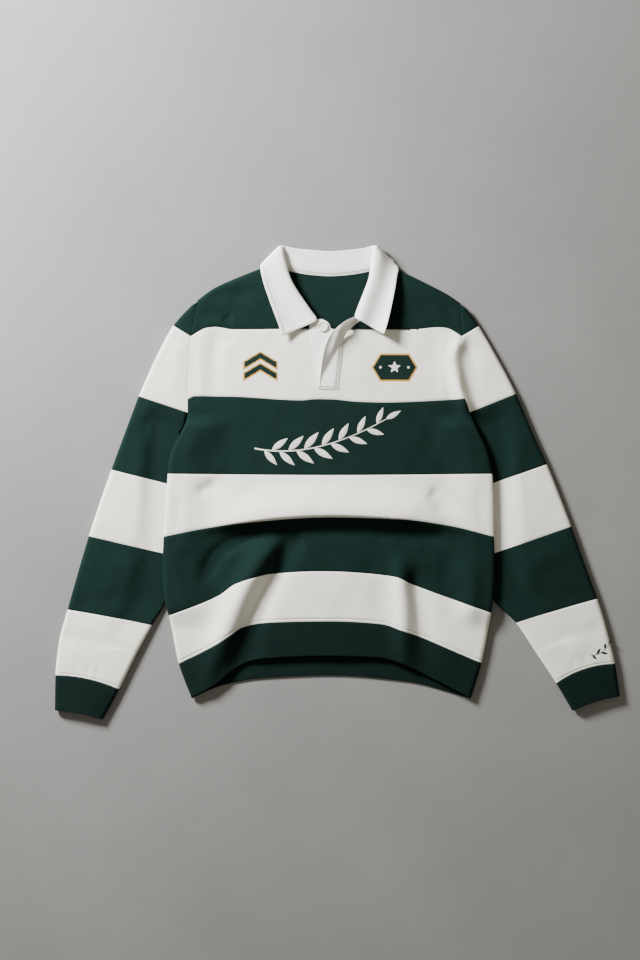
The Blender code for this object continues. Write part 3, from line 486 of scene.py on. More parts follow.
# Camera and light, in metres
VIEW_MIDDLE = (-0.0285, 0.0036)
VIEW_HEIGHT = 1.584
CAMERA_HEIGHT = 2.4
SENSOR = 36.0
KEY_PLACE = (-1.43, 1.30, 0.95)
FLOOR_LEVEL = -0.0006
FLOOR_HALF = 4.0

# Small creases of the front, besides those that its solids have
FINE_FOLDS = (
    Fold((-150, 20), (-190, -6), (-236, -30), -1.3, 16, 12),
    Fold((150, -14), (188, -32), (214, -70), -1.8, 13, 13),
    Fold((-70, -36), (10, -22), (96, -34), 0.9, 12, 14),
    Fold((-140, -8), (-40, 4), (60, -2), -0.6, 16, 20),
    Fold((70, -36), (130, -30), (190, -44), 0.8, 12, 12),
    Fold((96, -70), (150, -84), (196, -108), -2.2, 12, 16),
    Fold((-250, -20), (-252, -50), (-250, -84), -1.2, 8, 9),
    Fold((240, -10), (248, -50), (246, -84), -0.9, 9, 9),
    Fold((-240, -110), (-238, -150), (-226, -196), -1.6, 16, 12),
    Fold((-30, -110), (-96, -150), (-120, -230), 1.4, 20, 16),
    Fold((60, -120), (76, -170), (84, -250), -1.2, 16, 16),
    Fold((176, -140), (200, -190), (216, -262), -1.3, 14, 14),
    Fold((-40, -250), (-36, -280), (-44, -330), -0.6, 12, 12),
    Fold((80, -292), (82, -318), (86, -346), -1.0, 8, 8),
    Fold((140, -310), (142, -330), (150, -352), -1.3, 8, 8),
    Fold((164, -322), (168, -338), (176, -356), 1.1, 7, 7),
    Fold((-176, -292), (-184, -320), (-196, -350), -1.2, 9, 9),
    Fold((-110, -262), (-128, -286), (-150, -300), -1.2, 10, 10),
    Fold((-150, 262), (-166, 240), (-170, 216), -1.2, 14, 16),
    Fold((-176, 268), (-170, 262), (-158, 256), -1.2, 8, 8),
    Fold((-110, 330), (-150, 318), (-190, 292), 1.0, 12, 12),
    Fold((150, 300), (166, 276), (176, 250), -0.8, 14, 14),
    Fold((110, 326), (150, 312), (184, 288), 0.8, 12, 12),
    Fold((-60, 238), (-100, 220), (-130, 190), -0.7, 18, 16),
    Fold((90, 236), (140, 210), (170, 170), -0.8, 20, 16),
    Fold((60, 230), (50, 196), (60, 150), 0.8, 16, 16),
    Fold((-190, 120), (-150, 90), (-90, 82), -0.7, 20, 20),
    Fold((206, 120), (176, 84), (150, 30), -0.9, 18, 16),
    Fold((-222, 104), (-228, 70), (-240, 26), 1.2, 10, 9),
    Fold((222, 104), (230, 70), (242, 26), 1.2, 9, 10),
    Fold((200, 244), (196, 190), (206, 122), 1.6, 7, 5),
    Fold((32, 276), (14, 238), (-2, 188), 3.4, 24, 7),
    Fold((-186, -2), (-200, -12), (-222, -20), -2.4, 10, 9),
    Fold((160, -18), (176, -34), (186, -62), -2.8, 12, 11),
    Fold((-176, 262), (-168, 268), (-158, 270), -1.6, 7, 7),
)
# Creases of the sleeves' upper side, in the same plan
SLEEVE_FOLDS = (
    Fold((-236, 236), (-252, 190), (-250, 130), 1.2, 12, 12),
    Fold((-250, 120), (-292, 96), (-330, 60), -1.3, 14, 16),
    Fold((-262, 80), (-300, 20), (-318, -60), 1.2, 18, 18),
    Fold((-390, -70), (-350, -110), (-290, -120), -1.2, 14, 14),
    Fold((-404, -110), (-360, -140), (-300, -150), 1.0, 12, 16),
    Fold((-420, -190), (-370, -196), (-300, -180), -0.9, 12, 14),
    Fold((-446, -250), (-410, -262), (-350, -262), -1.2, 12, 12),
    Fold((-400, -300), (-397, -312), (-399, -326), -0.9, 4, 4),
    Fold((-384, -304), (-382, -316), (-384, -330), -0.7, 4, 4),
    Fold((-420, -298), (-419, -308), (-420, -322), -0.4, 4, 4),
    Fold((224, 236), (236, 190), (244, 130), -1.3, 9, 12),
    Fold((250, 120), (290, 100), (322, 66), -1.2, 14, 16),
    Fold((262, 84), (296, 24), (312, -56), 1.2, 18, 18),
    Fold((396, -60), (350, -96), (284, -112), -1.2, 14, 14),
    Fold((410, -100), (360, -132), (296, -150), 1.1, 12, 16),
    Fold((430, -176), (380, -190), (316, -180), -0.9, 12, 14),
    Fold((452, -236), (410, -252), (352, -258), -1.2, 12, 12),
    Fold((420, -284), (418, -296), (420, -310), -0.4, 4, 4),
    Fold((400, -290), (399, -302), (402, -316), -0.5, 4, 4),
)
# Creases of the hidden underside, which rises from the surface that it lies on
UNDER_FOLDS = (
    Fold((-180, 262), (-120, 246), (-40, 262), 1.0, 12, 14),
    Fold((40, 270), (110, 250), (190, 258), 0.9, 14, 12),
    Fold((-200, 190), (-130, 150), (-60, 160), 1.1, 14, 18),
    Fold((60, 120), (130, 96), (200, 120), 1.0, 16, 14),
    Fold((-190, 40), (-60, 22), (60, 44), 1.1, 16, 20),
    Fold((-60, -30), (60, -46), (190, -24), 1.0, 18, 14),
    Fold((-200, -180), (-120, -150), (-20, -176), 1.1, 14, 18),
    Fold((30, -196), (120, -176), (210, -200), 0.9, 16, 16),
    Fold((-150, -236), (-146, -270), (-158, -310), 1.0, 12, 12),
    Fold((110, -240), (118, -276), (112, -312), 1.0, 12, 12),
    Fold((-310, 120), (-290, 60), (-330, 0), 1.2, 12, 14),
    Fold((-380, -60), (-340, -110), (-290, -130), 1.2, 12, 14),
    Fold((-430, -220), (-390, -240), (-340, -240), 1.1, 10, 12),
    Fold((300, 120), (290, 60), (320, 0), 1.2, 14, 12),
    Fold((384, -60), (340, -104), (286, -124), 1.2, 14, 12),
    Fold((436, -210), (396, -236), (340, -230), 1.1, 12, 10),
)
# Low uneven waves over all the cloth: height, then waves in this length across and up, then the shift
WAVE_UNIT = 100
Wave = namedtuple("Wave", "height across up shift")
WAVES = (
    Wave(0.16, 0.9, 0.35, 0.4),
    Wave(0.15, -0.5, 1.15, 2.1),
    Wave(0.13, 1.6, -0.8, 4.0),
    Wave(0.10, 0.7, 2.1, 1.3),
    Wave(0.08, -2.3, 1.2, 5.2),
    Wave(0.05, 3.1, 2.6, 3.3),
)

# Finish of the seams: the cloth dips beside them
SEAM_DIP = 0.7
SEAM_DIP_WIDTH = 1.7
UNDER_DIP_SHARE = 0.5
LINE_DIP = 0.42
LINE_WIDTH = 0.8
# Distances between rows, in millimetres, where a panel starts and ends, and then over the rest of it
NEAR_SEAM = (0.0, 0.7, 1.5, 2.4, 3.2, 4.0, 4.8)
# A line of stitches runs this far above the seams of the hem and the cuffs
TOPSTITCH = 4.0
TOPSTITCH_DEPTH = 2.2
FRONT_SPACING = 2.6
BACK_SPACING = 5.0
SLEEVE_SPACING = 3.0


def smooth_step(low, high, at):
    share = np.clip((np.asarray(at, float) - low) / (high - low), 0.0, 1.0)
    return share * share * (3.0 - 2.0 * share)


def spline(knots, values, at):
    """A smooth curve through the knots that never overshoots them, and runs on straight past its ends."""
    knots, values, at = (np.asarray(each, float) for each in (knots, values, at))
    steps = np.diff(knots)
    slopes = np.diff(values) / steps
    tangents = np.concatenate([slopes[:1], np.zeros(len(knots) - 2), slopes[-1:]])
    same_way = slopes[:-1] * slopes[1:] > 0
    early, late = 2 * steps[1:] + steps[:-1], steps[1:] + 2 * steps[:-1]
    safe = np.where(same_way, slopes[:-1] * slopes[1:], 1.0)
    mean = (early + late) * safe / np.where(same_way, early * slopes[1:] + late * slopes[:-1], 1.0)
    tangents[1:-1] = np.where(same_way, mean, 0.0)
    inside = np.clip(at, knots[0], knots[-1])
    index = np.clip(np.searchsorted(knots, inside, side="right") - 1, 0, len(steps) - 1)
    step, share = steps[index], (inside - knots[index]) / steps[index]
    first, second = values[index], values[index + 1]
    bend = (1 - share) * tangents[index] - share * tangents[index + 1]
    turn = second - first
    value = first + share * turn + share * (1 - share) * (step * bend + (2 * share - 1) * turn)
    past = at - inside
    return value + past * np.where(past < 0, tangents[0], tangents[-1])


def polyline(points, at):
    """The point at a share from 0 to 1 of the way along a smooth curve through the given points."""
    points = np.asarray(points, float)
    lengths = np.hypot(*np.diff(points, axis=0).T)
    knots = np.concatenate([[0.0], np.cumsum(lengths)]) / lengths.sum()
    return np.stack([spline(knots, points[:, axis], at) for axis in range(2)], axis=-1)


def body_side(y, side):
    """Where the body's edge or armhole is."""
    rows = BODY_SIDES[::-1]
    return spline([row.y for row in rows], [row.left if side == "l" else row.right for row in rows], y)


def seam_y(seam, x):
    points = np.asarray(seam, float)
    return spline(points[:, 0], points[:, 1], x)


def over_sleeve(y):
    """How far the body is lifted there by the sleeves under its edges, from 0 to 1."""
    return smooth_step(*OVER_SLEEVE_TOP, y) * smooth_step(*OVER_SLEEVE_BOTTOM, y)


def inside_edge(x, y):
    return np.minimum(x - body_side(y, "l"), body_side(y, "r") - x)


def below_shoulder(x, y):
    outline = np.array(SHOULDER["l"] + (NECK_CENTRE,) + SHOULDER["r"][::-1], float)
    return np.interp(x, outline[:, 0], outline[:, 1]) - y


def lift(x, y):
    """Height of the back's underside."""
    flat_then_down = 1.0 - smooth_step(LIFT_FLAT, LIFT_RAMP_END, inside_edge(x, y))
    return BODY_LIFT * over_sleeve(y) * flat_then_down


def fold_height(fold, x, y):
    """Height that one fold adds, from its distance to its path."""
    share = np.linspace(0.0, 1.0, FOLD_STEPS + 1)[:, None]
    start, middle, end = (np.asarray(point, float) for point in fold[:3])
    handle = 2 * middle - (start + end) / 2
    path = (1 - share) ** 2 * start + 2 * share * (1 - share) * handle + share**2 * end
    run = np.diff(path, axis=0)
    reach = FOLD_REACH * max(fold.left_width, fold.right_width)
    low, high = path.min(axis=0) - reach, path.max(axis=0) + reach
    near = (x > low[0]) & (x < high[0]) & (y > low[1]) & (y < high[1])
    from_path = np.stack([x[near], y[near]], axis=-1)[:, None, :] - path[:-1]
    along = np.clip((from_path * run).sum(-1) / (run * run).sum(-1), 0.0, 1.0)
    away = from_path - along[..., None] * run
    distance = np.hypot(away[..., 0], away[..., 1])
    nearest = distance.argmin(-1)
    each = np.arange(len(nearest))
    crossed = (run[:, 0] * away[..., 1] - run[:, 1] * away[..., 0])[each, nearest]
    distance, along = distance[each, nearest], (along[each, nearest] + nearest) / FOLD_STEPS
    hand = crossed / (np.hypot(*run[nearest].T) * np.maximum(distance, 1e-6))
    width = (fold.left_width + fold.right_width) / 2 + hand * (fold.left_width - fold.right_width) / 2
    taper = smooth_step(0, FOLD_TAPER, along) * smooth_step(0, FOLD_TAPER, 1 - along)
    height = np.zeros(np.shape(x))
    height[near] = fold.height * taper * np.exp(-((distance / width) ** 2))
    return height


def front_height(x, y):
    """Height of the front's outer face above the surface that the garment lies on."""
    x, y = np.broadcast_arrays(np.asarray(x, float), np.asarray(y, float))
    folds = sum(fold_height(fold, x, y) for fold in (*FOLDS.values(), *FINE_FOLDS)) + uneven(x, y)
    fade = smooth_step(0, FOLD_EDGE_FADE, inside_edge(x, y))
    fade = fade * smooth_step(0, FOLD_SHOULDER_FADE, below_shoulder(x, y))
    spare = (BODY_HEIGHT - LOWEST_FRONT + fade * folds) / TROUGH_SOFTNESS
    above_lowest = TROUGH_SOFTNESS * np.logaddexp(0.0, spare)
    settled = TROUGH_SOFTNESS * np.logaddexp(0.0, (BODY_HEIGHT - LOWEST_FRONT) / TROUGH_SOFTNESS)
    return BODY_HEIGHT + above_lowest - settled + LIFT_SHARE_ON_TOP * lift(x, y) + armhole_ridge(x, y)


def armhole_ridge(x, y):
    """The chest stands higher beside the right armhole, and falls to the sleeve across its seam."""
    beyond = (x - body_side(y, "r") + ARMHOLE_RIDGE_INSIDE) / ARMHOLE_RIDGE_WIDTH
    span = smooth_step(*ARMHOLE_RIDGE_TOP, y) * smooth_step(*ARMHOLE_RIDGE_BOTTOM, y)
    growth = 1 + ARMHOLE_RIDGE_GROWTH * (1 - smooth_step(UNDERARM, ARMHOLE_RIDGE_TOP[1], y))
    return ARMHOLE_RIDGE * growth * span * np.exp(-(beyond**2))


def with_rolls(flat):
    """Adds columns from -1 to 0 and 1 to 2, over the rolled edges, to those over the flat of a panel."""
    roll = np.linspace(0.0, 1.0, ROLL_STEPS + 1)[1:]
    return np.concatenate([-roll[::-1], flat, 1 + roll])


def side_roll(y):
    """How far the edge of the body is rolled there, as the angle that its arc turns through."""
    return FLAT_ROLL + (FULL_ROLL - FLAT_ROLL) * smooth_step(*OVER_SLEEVE_TOP, y)


def panel_plan(seams, upper, lower, rows, columns):
    """Plan of a panel between two seams: x, y and the roll's angle at each point."""
    u, v = np.meshgrid(with_rolls(columns), rows)
    y = np.zeros_like(u)
    for _ in range(SETTLING_ROUNDS):
        full_turn = side_roll(y)
        margin = ROLL_WIDTH * np.sin(full_turn)
        left, right = body_side(y, "l") + margin, body_side(y, "r") - margin
        turn = full_turn * np.clip(np.maximum(-u, u - 1), 0, 1)
        outward = np.where(u < 0, -1, np.where(u > 1, 1, 0))
        flat_x = left + np.clip(u, 0, 1) * (right - left)
        x = flat_x + outward * ROLL_WIDTH * np.sin(turn)
        top, bottom = seam_y(seams[upper], x) - HALF_GAP, seam_y(seams[lower], x) + HALF_GAP
        y = top + v * (bottom - top)
    return x, y, turn


def armhole_panel_plan(seams, columns, rows):
    """Plan of the panel between the armholes, which has no rolled edge, as panel_plan gives it."""
    top, bottom = FRONT_SEAMS["yoke"][0][1], FRONT_SEAMS["cream_1"][0][1]
    places = top + rows * (bottom - top)
    sides = []
    for side, inward in (("l", 1), ("r", -1)):
        sides.append(np.stack([body_side(places, side) + inward * HALF_GAP, places], axis=-1))
    across = []
    for seam, row, shift in (("yoke", 0, -HALF_GAP), ("cream_1", -1, HALF_GAP)):
        x = sides[0][row, 0] + columns * (sides[1][row, 0] - sides[0][row, 0])
        across.append(np.stack([x, seam_y(seams[seam], x) + shift], axis=-1))
        sides[0][row], sides[1][row] = across[-1][0], across[-1][-1]
    u, v = np.meshgrid(columns, rows)
    patch = coons(across[0], across[1], sides[0], sides[1], u, v)
    return patch[..., 0], patch[..., 1], np.zeros_like(u)


def edge_drop(y):
    """Half the thickness of the body at its edge, which is how far each rolled edge comes down or up."""
    thickness = BODY_HEIGHT - (1 - LIFT_SHARE_ON_TOP) * BODY_LIFT * over_sleeve(y)
    return (thickness - SEAM_GAP) / 2


def coons(top, bottom, start, end, u, v):
    """The patch between four curves, given at the shares u across and v down."""
    u, v = u[..., None], v[..., None]
    corners = (1 - v) * ((1 - u) * start[0] + u * end[0]) + v * ((1 - u) * start[-1] + u * end[-1])
    return (1 - v) * top[None] + v * bottom[None] + (1 - u) * start[:, None] + u * end[:, None] - corners


def rolled_rows(patch, turns, roll):
    """Puts rows above a patch, turned over along +Y by up to the given angles. Gives x, y and the turn."""
    steps = np.linspace(1.0, 0.0, turns + 1)[:-1]
    turn = np.concatenate([steps[:, None] * roll[None], np.zeros(patch.shape[:2])])
    x = np.concatenate([np.repeat(patch[:1, :, 0], turns, axis=0), patch[..., 0]])
    flat_y = np.concatenate([np.repeat(patch[:1, :, 1], turns, axis=0), patch[..., 1]])
    return x, flat_y + ROLL_WIDTH * np.sin(turn), turn


def sleeve_row(side, at):
    """Outer point, inner point, bow and tuck of the sleeve at a place along it."""
    rows = SLEEVE_ROWS[side]
    places = [row.at for row in rows]
    outer = np.array([spline(places, [row.outer[axis] for row in rows], at) for axis in range(2)])
    inner = np.array([spline(places, [row.inner[axis] for row in rows], at) for axis in range(2)])
    outward = -1 if side == "l" else 1
    if at <= UNDERARM_ROW:
        inner[1] = np.interp(at, places, [row.inner[1] for row in rows])
        inner[0] = body_side(inner[1], side) + outward * HALF_GAP
    elif at < TUCK_ROW:
        inner[0] = body_side(inner[1], side) + outward * UNDERARM_CLEARANCE
    bow = float(spline(places, [row.bow for row in rows], at))
    tucked = float(np.clip(spline(places, [row.tucked for row in rows], at), 0, 1))
    return outer, inner, bow, tucked


def sleeve_contour(width, tucked, closed):
    """Distance from the outer edge and height of points round a flattened sleeve."""
    edge_height = SLEEVE_HEIGHT - tucked * (SLEEVE_HEIGHT - TUCKED_HEIGHT)
    roll = min(SLEEVE_ROLL, MOST_ROLL_SHARE * width)
    inner_roll = SLEEVE_ROLL - tucked * (SLEEVE_ROLL - TUCKED_ROLL)
    end = width - inner_roll if closed else width

    def top_height(place):
        from_inner = width - place
        rise = smooth_step(TUCK_WIDTH[0], TUCK_WIDTH[1], from_inner) if tucked > 0 else 1.0
        crown = SLEEVE_CROWN * np.sin(np.pi * np.clip(place / width, 0, 1))
        crown = crown * (1 if closed else OPEN_CROWN_SHARE)
        return edge_height + (SLEEVE_HEIGHT - edge_height) * rise + crown * rise

    flat = np.linspace(roll, end, SLEEVE_FLAT_STEPS)
    arc = np.linspace(-1, 1, 2 * ROLL_STEPS + 1) * math.pi / 2
    half = top_height(np.array(roll)) / 2
    outer_arc = (roll - roll * np.cos(arc), half + half * np.sin(arc))
    top = (flat[1:], top_height(flat[1:]))
    bottom = flat[1:-1][::-1] if closed else flat[1:][::-1]
    bottom = (bottom, np.zeros(len(bottom)))
    if not closed:
        return np.hstack([bottom, outer_arc, top])
    half_in = top_height(np.array(end)) / 2
    inner_arc = (end + inner_roll * np.cos(arc[::-1]), half_in + half_in * np.sin(arc[::-1]))
    places = np.concatenate([outer_arc[0], top[0][:-1], inner_arc[0], bottom[0]])
    heights = np.concatenate([outer_arc[1], top[1][:-1], inner_arc[1], bottom[1]])
    return places, heights


def sleeve_ring(side, at, closed):
    outer, inner, bow, tucked = sleeve_row(side, at)
    along = inner - outer
    width = float(np.hypot(*along))
    along /= width
    upward = np.array([-along[1], along[0]]) * (1 if side == "l" else -1)
    places, heights = sleeve_contour(width, tucked, closed)
    share = places / width
    plan = outer + places[:, None] * along + (4 * bow * share * (1 - share))[:, None] * upward
    return np.concatenate([plan, heights[:, None]], axis=1)


def between_rows(values, steps):
    """A smooth curve through a table's rows, with the given number of steps between rows."""
    values = np.asarray(values, float)
    rows = np.arange(len(values))
    at = np.linspace(0, len(values) - 1, (len(values) - 1) * steps + 1)
    return np.stack([spline(rows, values[:, axis], at) for axis in range(values.shape[1])], axis=-1)


def uneven(x, y):
    waves = sum(
        wave.height * np.sin(2 * math.pi * (wave.across * x + wave.up * y) / WAVE_UNIT + wave.shift)
        for wave in WAVES
    )
    return waves


def spaced(length, spacing, start_fine=True, end_fine=True):
    """Shares from 0 to 1 along a length, closer together at its seams."""
    near = np.array(NEAR_SEAM)
    first = near if start_fine else near[:1]
    last = near if end_fine else near[:1]
    middle_steps = max(2, round((length - first[-1] - last[-1]) / spacing))
    middle = np.linspace(first[-1], length - last[-1], middle_steps + 1)
    return np.concatenate([first[:-1], middle, length - last[:-1][::-1]]) / length


def seam_dip(distance):
    return SEAM_DIP * np.exp(-((distance / SEAM_DIP_WIDTH) ** 2))


def armhole_dip(x, y):
    return ARMHOLE_SHARE * seam_dip(inside_edge(x, y)) * smooth_step(UNDERARM - 12, UNDERARM, y)


def grid_normals(points, closed, outside):
    """Unit normals of a grid of points, towards the outside given as 1 or -1."""
    down = np.gradient(points, axis=0)
    if closed:
        across = np.roll(points, -1, axis=1) - np.roll(points, 1, axis=1)
    else:
        across = np.gradient(points, axis=1)
    normal = np.cross(down, across)
    return outside * normal / np.maximum(np.linalg.norm(normal, axis=-1, keepdims=True), 1e-9)


def measured(points, closed):
    """The distances across and along a grid of cloth, in metres, for its UV map."""
    if closed:
        points = np.concatenate([points, points[:, :1]], axis=1)
    across = np.linalg.norm(np.diff(points, axis=1), axis=-1)
    across = np.concatenate([np.zeros((len(points), 1)), np.cumsum(across, axis=1)], axis=1)
    across -= across[:, across.shape[1] // 2, None]
    along = np.linalg.norm(np.diff(points, axis=0), axis=-1)
    along = np.concatenate([np.zeros((1, points.shape[1])), np.cumsum(along, axis=0)], axis=0)
    return np.stack([across, -along], axis=-1) * MM


def grid_corners(rows, columns, closed, outside):
    """Corner rows and columns of every face of a shell's outer side, wound to face outside."""
    across = columns if closed else columns - 1
    row, column = np.meshgrid(np.arange(rows - 1), np.arange(across), indexing="ij")
    corner_rows = np.stack([row, row + 1, row + 1, row], axis=-1).reshape(-1, 4)
    corner_columns = np.stack([column, column, column + 1, column + 1], axis=-1).reshape(-1, 4)
    if outside < 0:
        corner_rows, corner_columns = corner_rows[:, ::-1], corner_columns[:, ::-1]
    return corner_rows, corner_columns


def make_object(name, points, faces, uvs, material):
    """An object from points in the garment's millimetres, faces, and a UV for each corner of each face."""
    mesh = bpy.data.meshes.new(name)
    placed = (np.asarray(points) - (*OUTLINE_MIDDLE, 0)) * MM
    mesh.from_pydata(placed, [], faces)
    layer = mesh.uv_layers.new(name="cloth")
    layer.uv.foreach_set("vector", np.asarray(uvs, np.float32).ravel())
    mesh.materials.append(material)
    made = bpy.data.objects.new(name, mesh)
    bpy.context.scene.collection.objects.link(made)
    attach(made, "root")
    return made


def finish_mesh(made, free_edges, width):
    """Rounds the free edges of a shell, given as pairs of its points, and smooths its shading."""
    mesh = made.data
    if free_edges:
        shell = bmesh.new()
        shell.from_mesh(mesh)
        shell.verts.ensure_lookup_table()
        chosen = [shell.edges.get((shell.verts[start], shell.verts[end])) for start, end in free_edges]
        bmesh.ops.bevel(
            shell,
            geom=[edge for edge in chosen if edge],
            offset=width * MM,
            segments=3,
            profile=0.5,
            affect="EDGES",
            clamp_overlap=True,
        )
        shell.to_mesh(mesh)
        shell.free()
    mesh.shade_smooth()
    mesh.set_sharp_from_angle(angle=math.radians(50))


def shell(name, outer, thickness, material, closed=False, outside=1, free=()):
    """A wall of cloth under a grid of outer points. Its free edges, such as last, are rounded."""
    rows, columns = outer.shape[:2]
    inner = outer - thickness * grid_normals(outer, closed, outside)
    points = np.concatenate([outer.reshape(-1, 3), inner.reshape(-1, 3)])
    uv_grid = measured(outer, closed)
    corner_rows, corner_columns = grid_corners(rows, columns, closed, outside)
    corners = corner_rows * columns + corner_columns % columns
    corner_uvs = uv_grid[corner_rows, corner_columns]
    other = rows * columns
    faces = [corners, corners[:, ::-1] + other]
    uvs = [corner_uvs, corner_uvs[:, ::-1]]
    strips = {}
    column = np.arange(columns if closed else columns - 1)
    row = np.arange(rows - 1)
    strips["first"] = (np.zeros_like(column), column, np.zeros_like(column), column + 1)
    strips["last"] = (np.full_like(column, rows - 1), column + 1, np.full_like(column, rows - 1), column)
    if not closed:
        strips["left"] = (row + 1, np.zeros_like(row), row, np.zeros_like(row))
        strips["right"] = (row, np.full_like(row, columns - 1), row + 1, np.full_like(row, columns - 1))
    free_edges = []
    for edge, (row_a, column_a, row_b, column_b) in strips.items():
        start, end = row_a * columns + column_a % columns, row_b * columns + column_b % columns
        strip = np.stack([start, end, end + other, start + other], axis=-1)
        uv_a, uv_b = uv_grid[row_a, column_a], uv_grid[row_b, column_b]
        strip_uvs = np.stack([uv_a, uv_b, uv_b, uv_a], axis=1)
        if outside < 0:
            strip, strip_uvs = strip[:, ::-1], strip_uvs[:, ::-1]
        faces.append(strip)
        uvs.append(strip_uvs)
        if edge in free:
            free_edges += [tuple(pair) for pair in np.stack([start, end], axis=-1).tolist()]
            free_edges += [tuple(pair) for pair in (np.stack([start, end], axis=-1) + other).tolist()]
    made = make_object(name, points, np.concatenate(faces).tolist(), np.concatenate(uvs), material)
    finish_mesh(made, free_edges, RIM_SHARE * thickness)
    return made


def declare(made, node):
    """Hides the node's part and says which node a piece of cloth stands for."""
    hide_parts(node)
    CLOTH[node] = made
    ON_CLOTH[node] = []


def side_length(upper, lower):
    """The length of a panel down its middle, as its rows are shared out."""
    return abs(seam_y(FRONT_SEAMS[upper], 0) - seam_y(FRONT_SEAMS[lower], 0))


def panel_columns(spacing):
    return np.linspace(0.0, 1.0, round(2 * BODY_HALF / spacing) + 1)


def panel_grid(seams, upper, stripe, spacing):
    """Plan of a body panel, its roll, and how far its seams dip at each point."""
    rows = spaced(side_length(upper, stripe), spacing, end_fine=stripe != "hem")
    columns = panel_columns(spacing)
    if stripe == "cream_1":
        x, y, turn = armhole_panel_plan(seams, columns, rows)
    else:
        x, y, turn = panel_plan(seams, upper, stripe, rows, columns)
    dip = seam_dip(seam_y(seams[upper], x) - y) + armhole_dip(x, y)
    if stripe != "hem":
        dip = dip + seam_dip(y - seam_y(seams[stripe], x))
    if stripe == "cream_5":
        dip = dip + TOPSTITCH_DEPTH * line_dip(y - seam_y(seams[stripe], x) - TOPSTITCH)
    return x, y, turn, dip * np.cos(turn)


def sew_panel(face, stripe, outer, outside):
    node = "hem_" + face if stripe == "hem" else face + "_" + stripe
    finish = FINISHES[stripe.split("_")[0]]
    free = ("last",) if stripe == "hem" else ()
    made = shell(node + "_cloth", outer, WALL, finish.material, outside=outside, free=free)
    declare(made, node)


def front_panel(stripe, upper):
    x, y, turn, dip = panel_grid(FRONT_SEAMS, upper, stripe, FRONT_SPACING)
    outer = np.stack([x, y, front_height(x, y) - edge_drop(y) * (1 - np.cos(turn)) - dip], axis=-1)
    sew_panel("front", stripe, outer, 1)


def under_rise(x, y):
    """How far the creases of the hidden side rise from the surface that the garment lies on."""
    folds = sum(fold_height(fold, x, y) for fold in UNDER_FOLDS)
    return np.maximum(folds, 0.0)


def back_panel(stripe, upper):
    x, y, turn, dip = panel_grid(BACK_SEAMS, upper, stripe, BACK_SPACING)
    rise = (under_rise(x, y) + UNDER_DIP_SHARE * dip) * np.cos(turn)
    outer = np.stack([x, y, lift(x, y) + edge_drop(y) * (1 - np.cos(turn)) + rise], axis=-1)
    sew_panel("back", stripe, outer, -1)


def front_yoke(side):
    """A front shoulder piece, between the armhole, the shoulder, the neck and the chest stripe."""
    inward = 1 if side == "l" else -1
    steps = spaced(BODY_HALF, FRONT_SPACING, end_fine=False)
    rows = spaced(YOKE_LENGTH, FRONT_SPACING, start_fine=False)
    shoulder = polyline(SHOULDER[side], steps)
    shoulder[:, 1] -= ROLL_WIDTH
    neck = polyline(FRONT_NECK[side], rows)
    neck[:, 1] -= ROLL_WIDTH * (1 - rows)
    neck[-1, 1] = seam_y(FRONT_SEAMS["yoke"], neck[-1, 0])
    armhole_y = shoulder[0, 1] + rows * (FRONT_SEAMS["yoke"][0][1] - shoulder[0, 1])
    armhole = np.stack([body_side(armhole_y, side) + inward * HALF_GAP, armhole_y], axis=-1)
    shoulder[0, 0] = armhole[0, 0]
    seam_x = armhole[-1, 0] + steps * (neck[-1, 0] - armhole[-1, 0])
    seam = np.stack([seam_x, seam_y(FRONT_SEAMS["yoke"], seam_x)], axis=-1)
    armhole[-1] = seam[0]
    u, v = np.meshgrid(steps, rows)
    patch = coons(shoulder, seam, armhole, neck, u, v)
    patch[-1, :, 1] = seam_y(FRONT_SEAMS["yoke"], patch[-1, :, 0]) + HALF_GAP
    x, y, turn = rolled_rows(patch, ROLL_STEPS, np.full(len(steps), FULL_ROLL))
    dip = seam_dip(y - seam_y(FRONT_SEAMS["yoke"], x)) + armhole_dip(x, y)
    drop = (BODY_HEIGHT - SEAM_GAP) / 2 * (1 - np.cos(turn))
    outer = np.stack([x, y, front_height(x, y) - drop - dip * np.cos(turn)], axis=-1)
    node = "front_yoke_" + side
    made = shell(node + "_cloth", outer, WALL, FINISHES["green"].material, outside=inward)
    declare(made, node)


def back_yoke():
    outline = SHOULDER["l"] + BACK_NECK[1:-1] + SHOULDER["r"][::-1]
    steps = panel_columns(BACK_SPACING)
    rows = spaced(YOKE_LENGTH, BACK_SPACING, start_fine=False)
    top = polyline(outline, steps)
    roll = FLAT_ROLL + (FULL_ROLL - FLAT_ROLL) * smooth_step(*NECK_CORNER, np.abs(top[:, 0]))
    top[:, 1] -= ROLL_WIDTH * np.sin(roll)
    edges = []
    for side, corner, inward in (("l", top[0], 1), ("r", top[-1], -1)):
        y = corner[1] + rows * (seam_y(BACK_SEAMS["yoke"], body_side(YOKE_SIDE, side)) - corner[1])
        edges.append(np.stack([body_side(y, side) + inward * HALF_GAP, y], axis=-1))
    top[0, 0], top[-1, 0] = edges[0][0, 0], edges[1][0, 0]
    seam_x = edges[0][-1, 0] + steps * (edges[1][-1, 0] - edges[0][-1, 0])
    seam = np.stack([seam_x, seam_y(BACK_SEAMS["yoke"], seam_x)], axis=-1)
    edges[0][-1], edges[1][-1] = seam[0], seam[-1]
    u, v = np.meshgrid(steps, rows)
    patch = coons(top, seam, edges[0], edges[1], u, v)
    patch[-1, :, 1] = seam_y(BACK_SEAMS["yoke"], patch[-1, :, 0]) + HALF_GAP
    x, y, turn = rolled_rows(patch, ROLL_STEPS, roll)
    dip = seam_dip(y - seam_y(BACK_SEAMS["yoke"], x)) + armhole_dip(x, y)
    rise = (under_rise(x, y) + UNDER_DIP_SHARE * dip) * np.cos(turn)
    outer = np.stack([x, y, (BODY_HEIGHT - SEAM_GAP) / 2 * (1 - np.cos(turn)) + rise], axis=-1)
    made = shell("back_yoke_cloth", outer, WALL, FINISHES["green"].material, outside=-1)
    declare(made, "back_yoke")


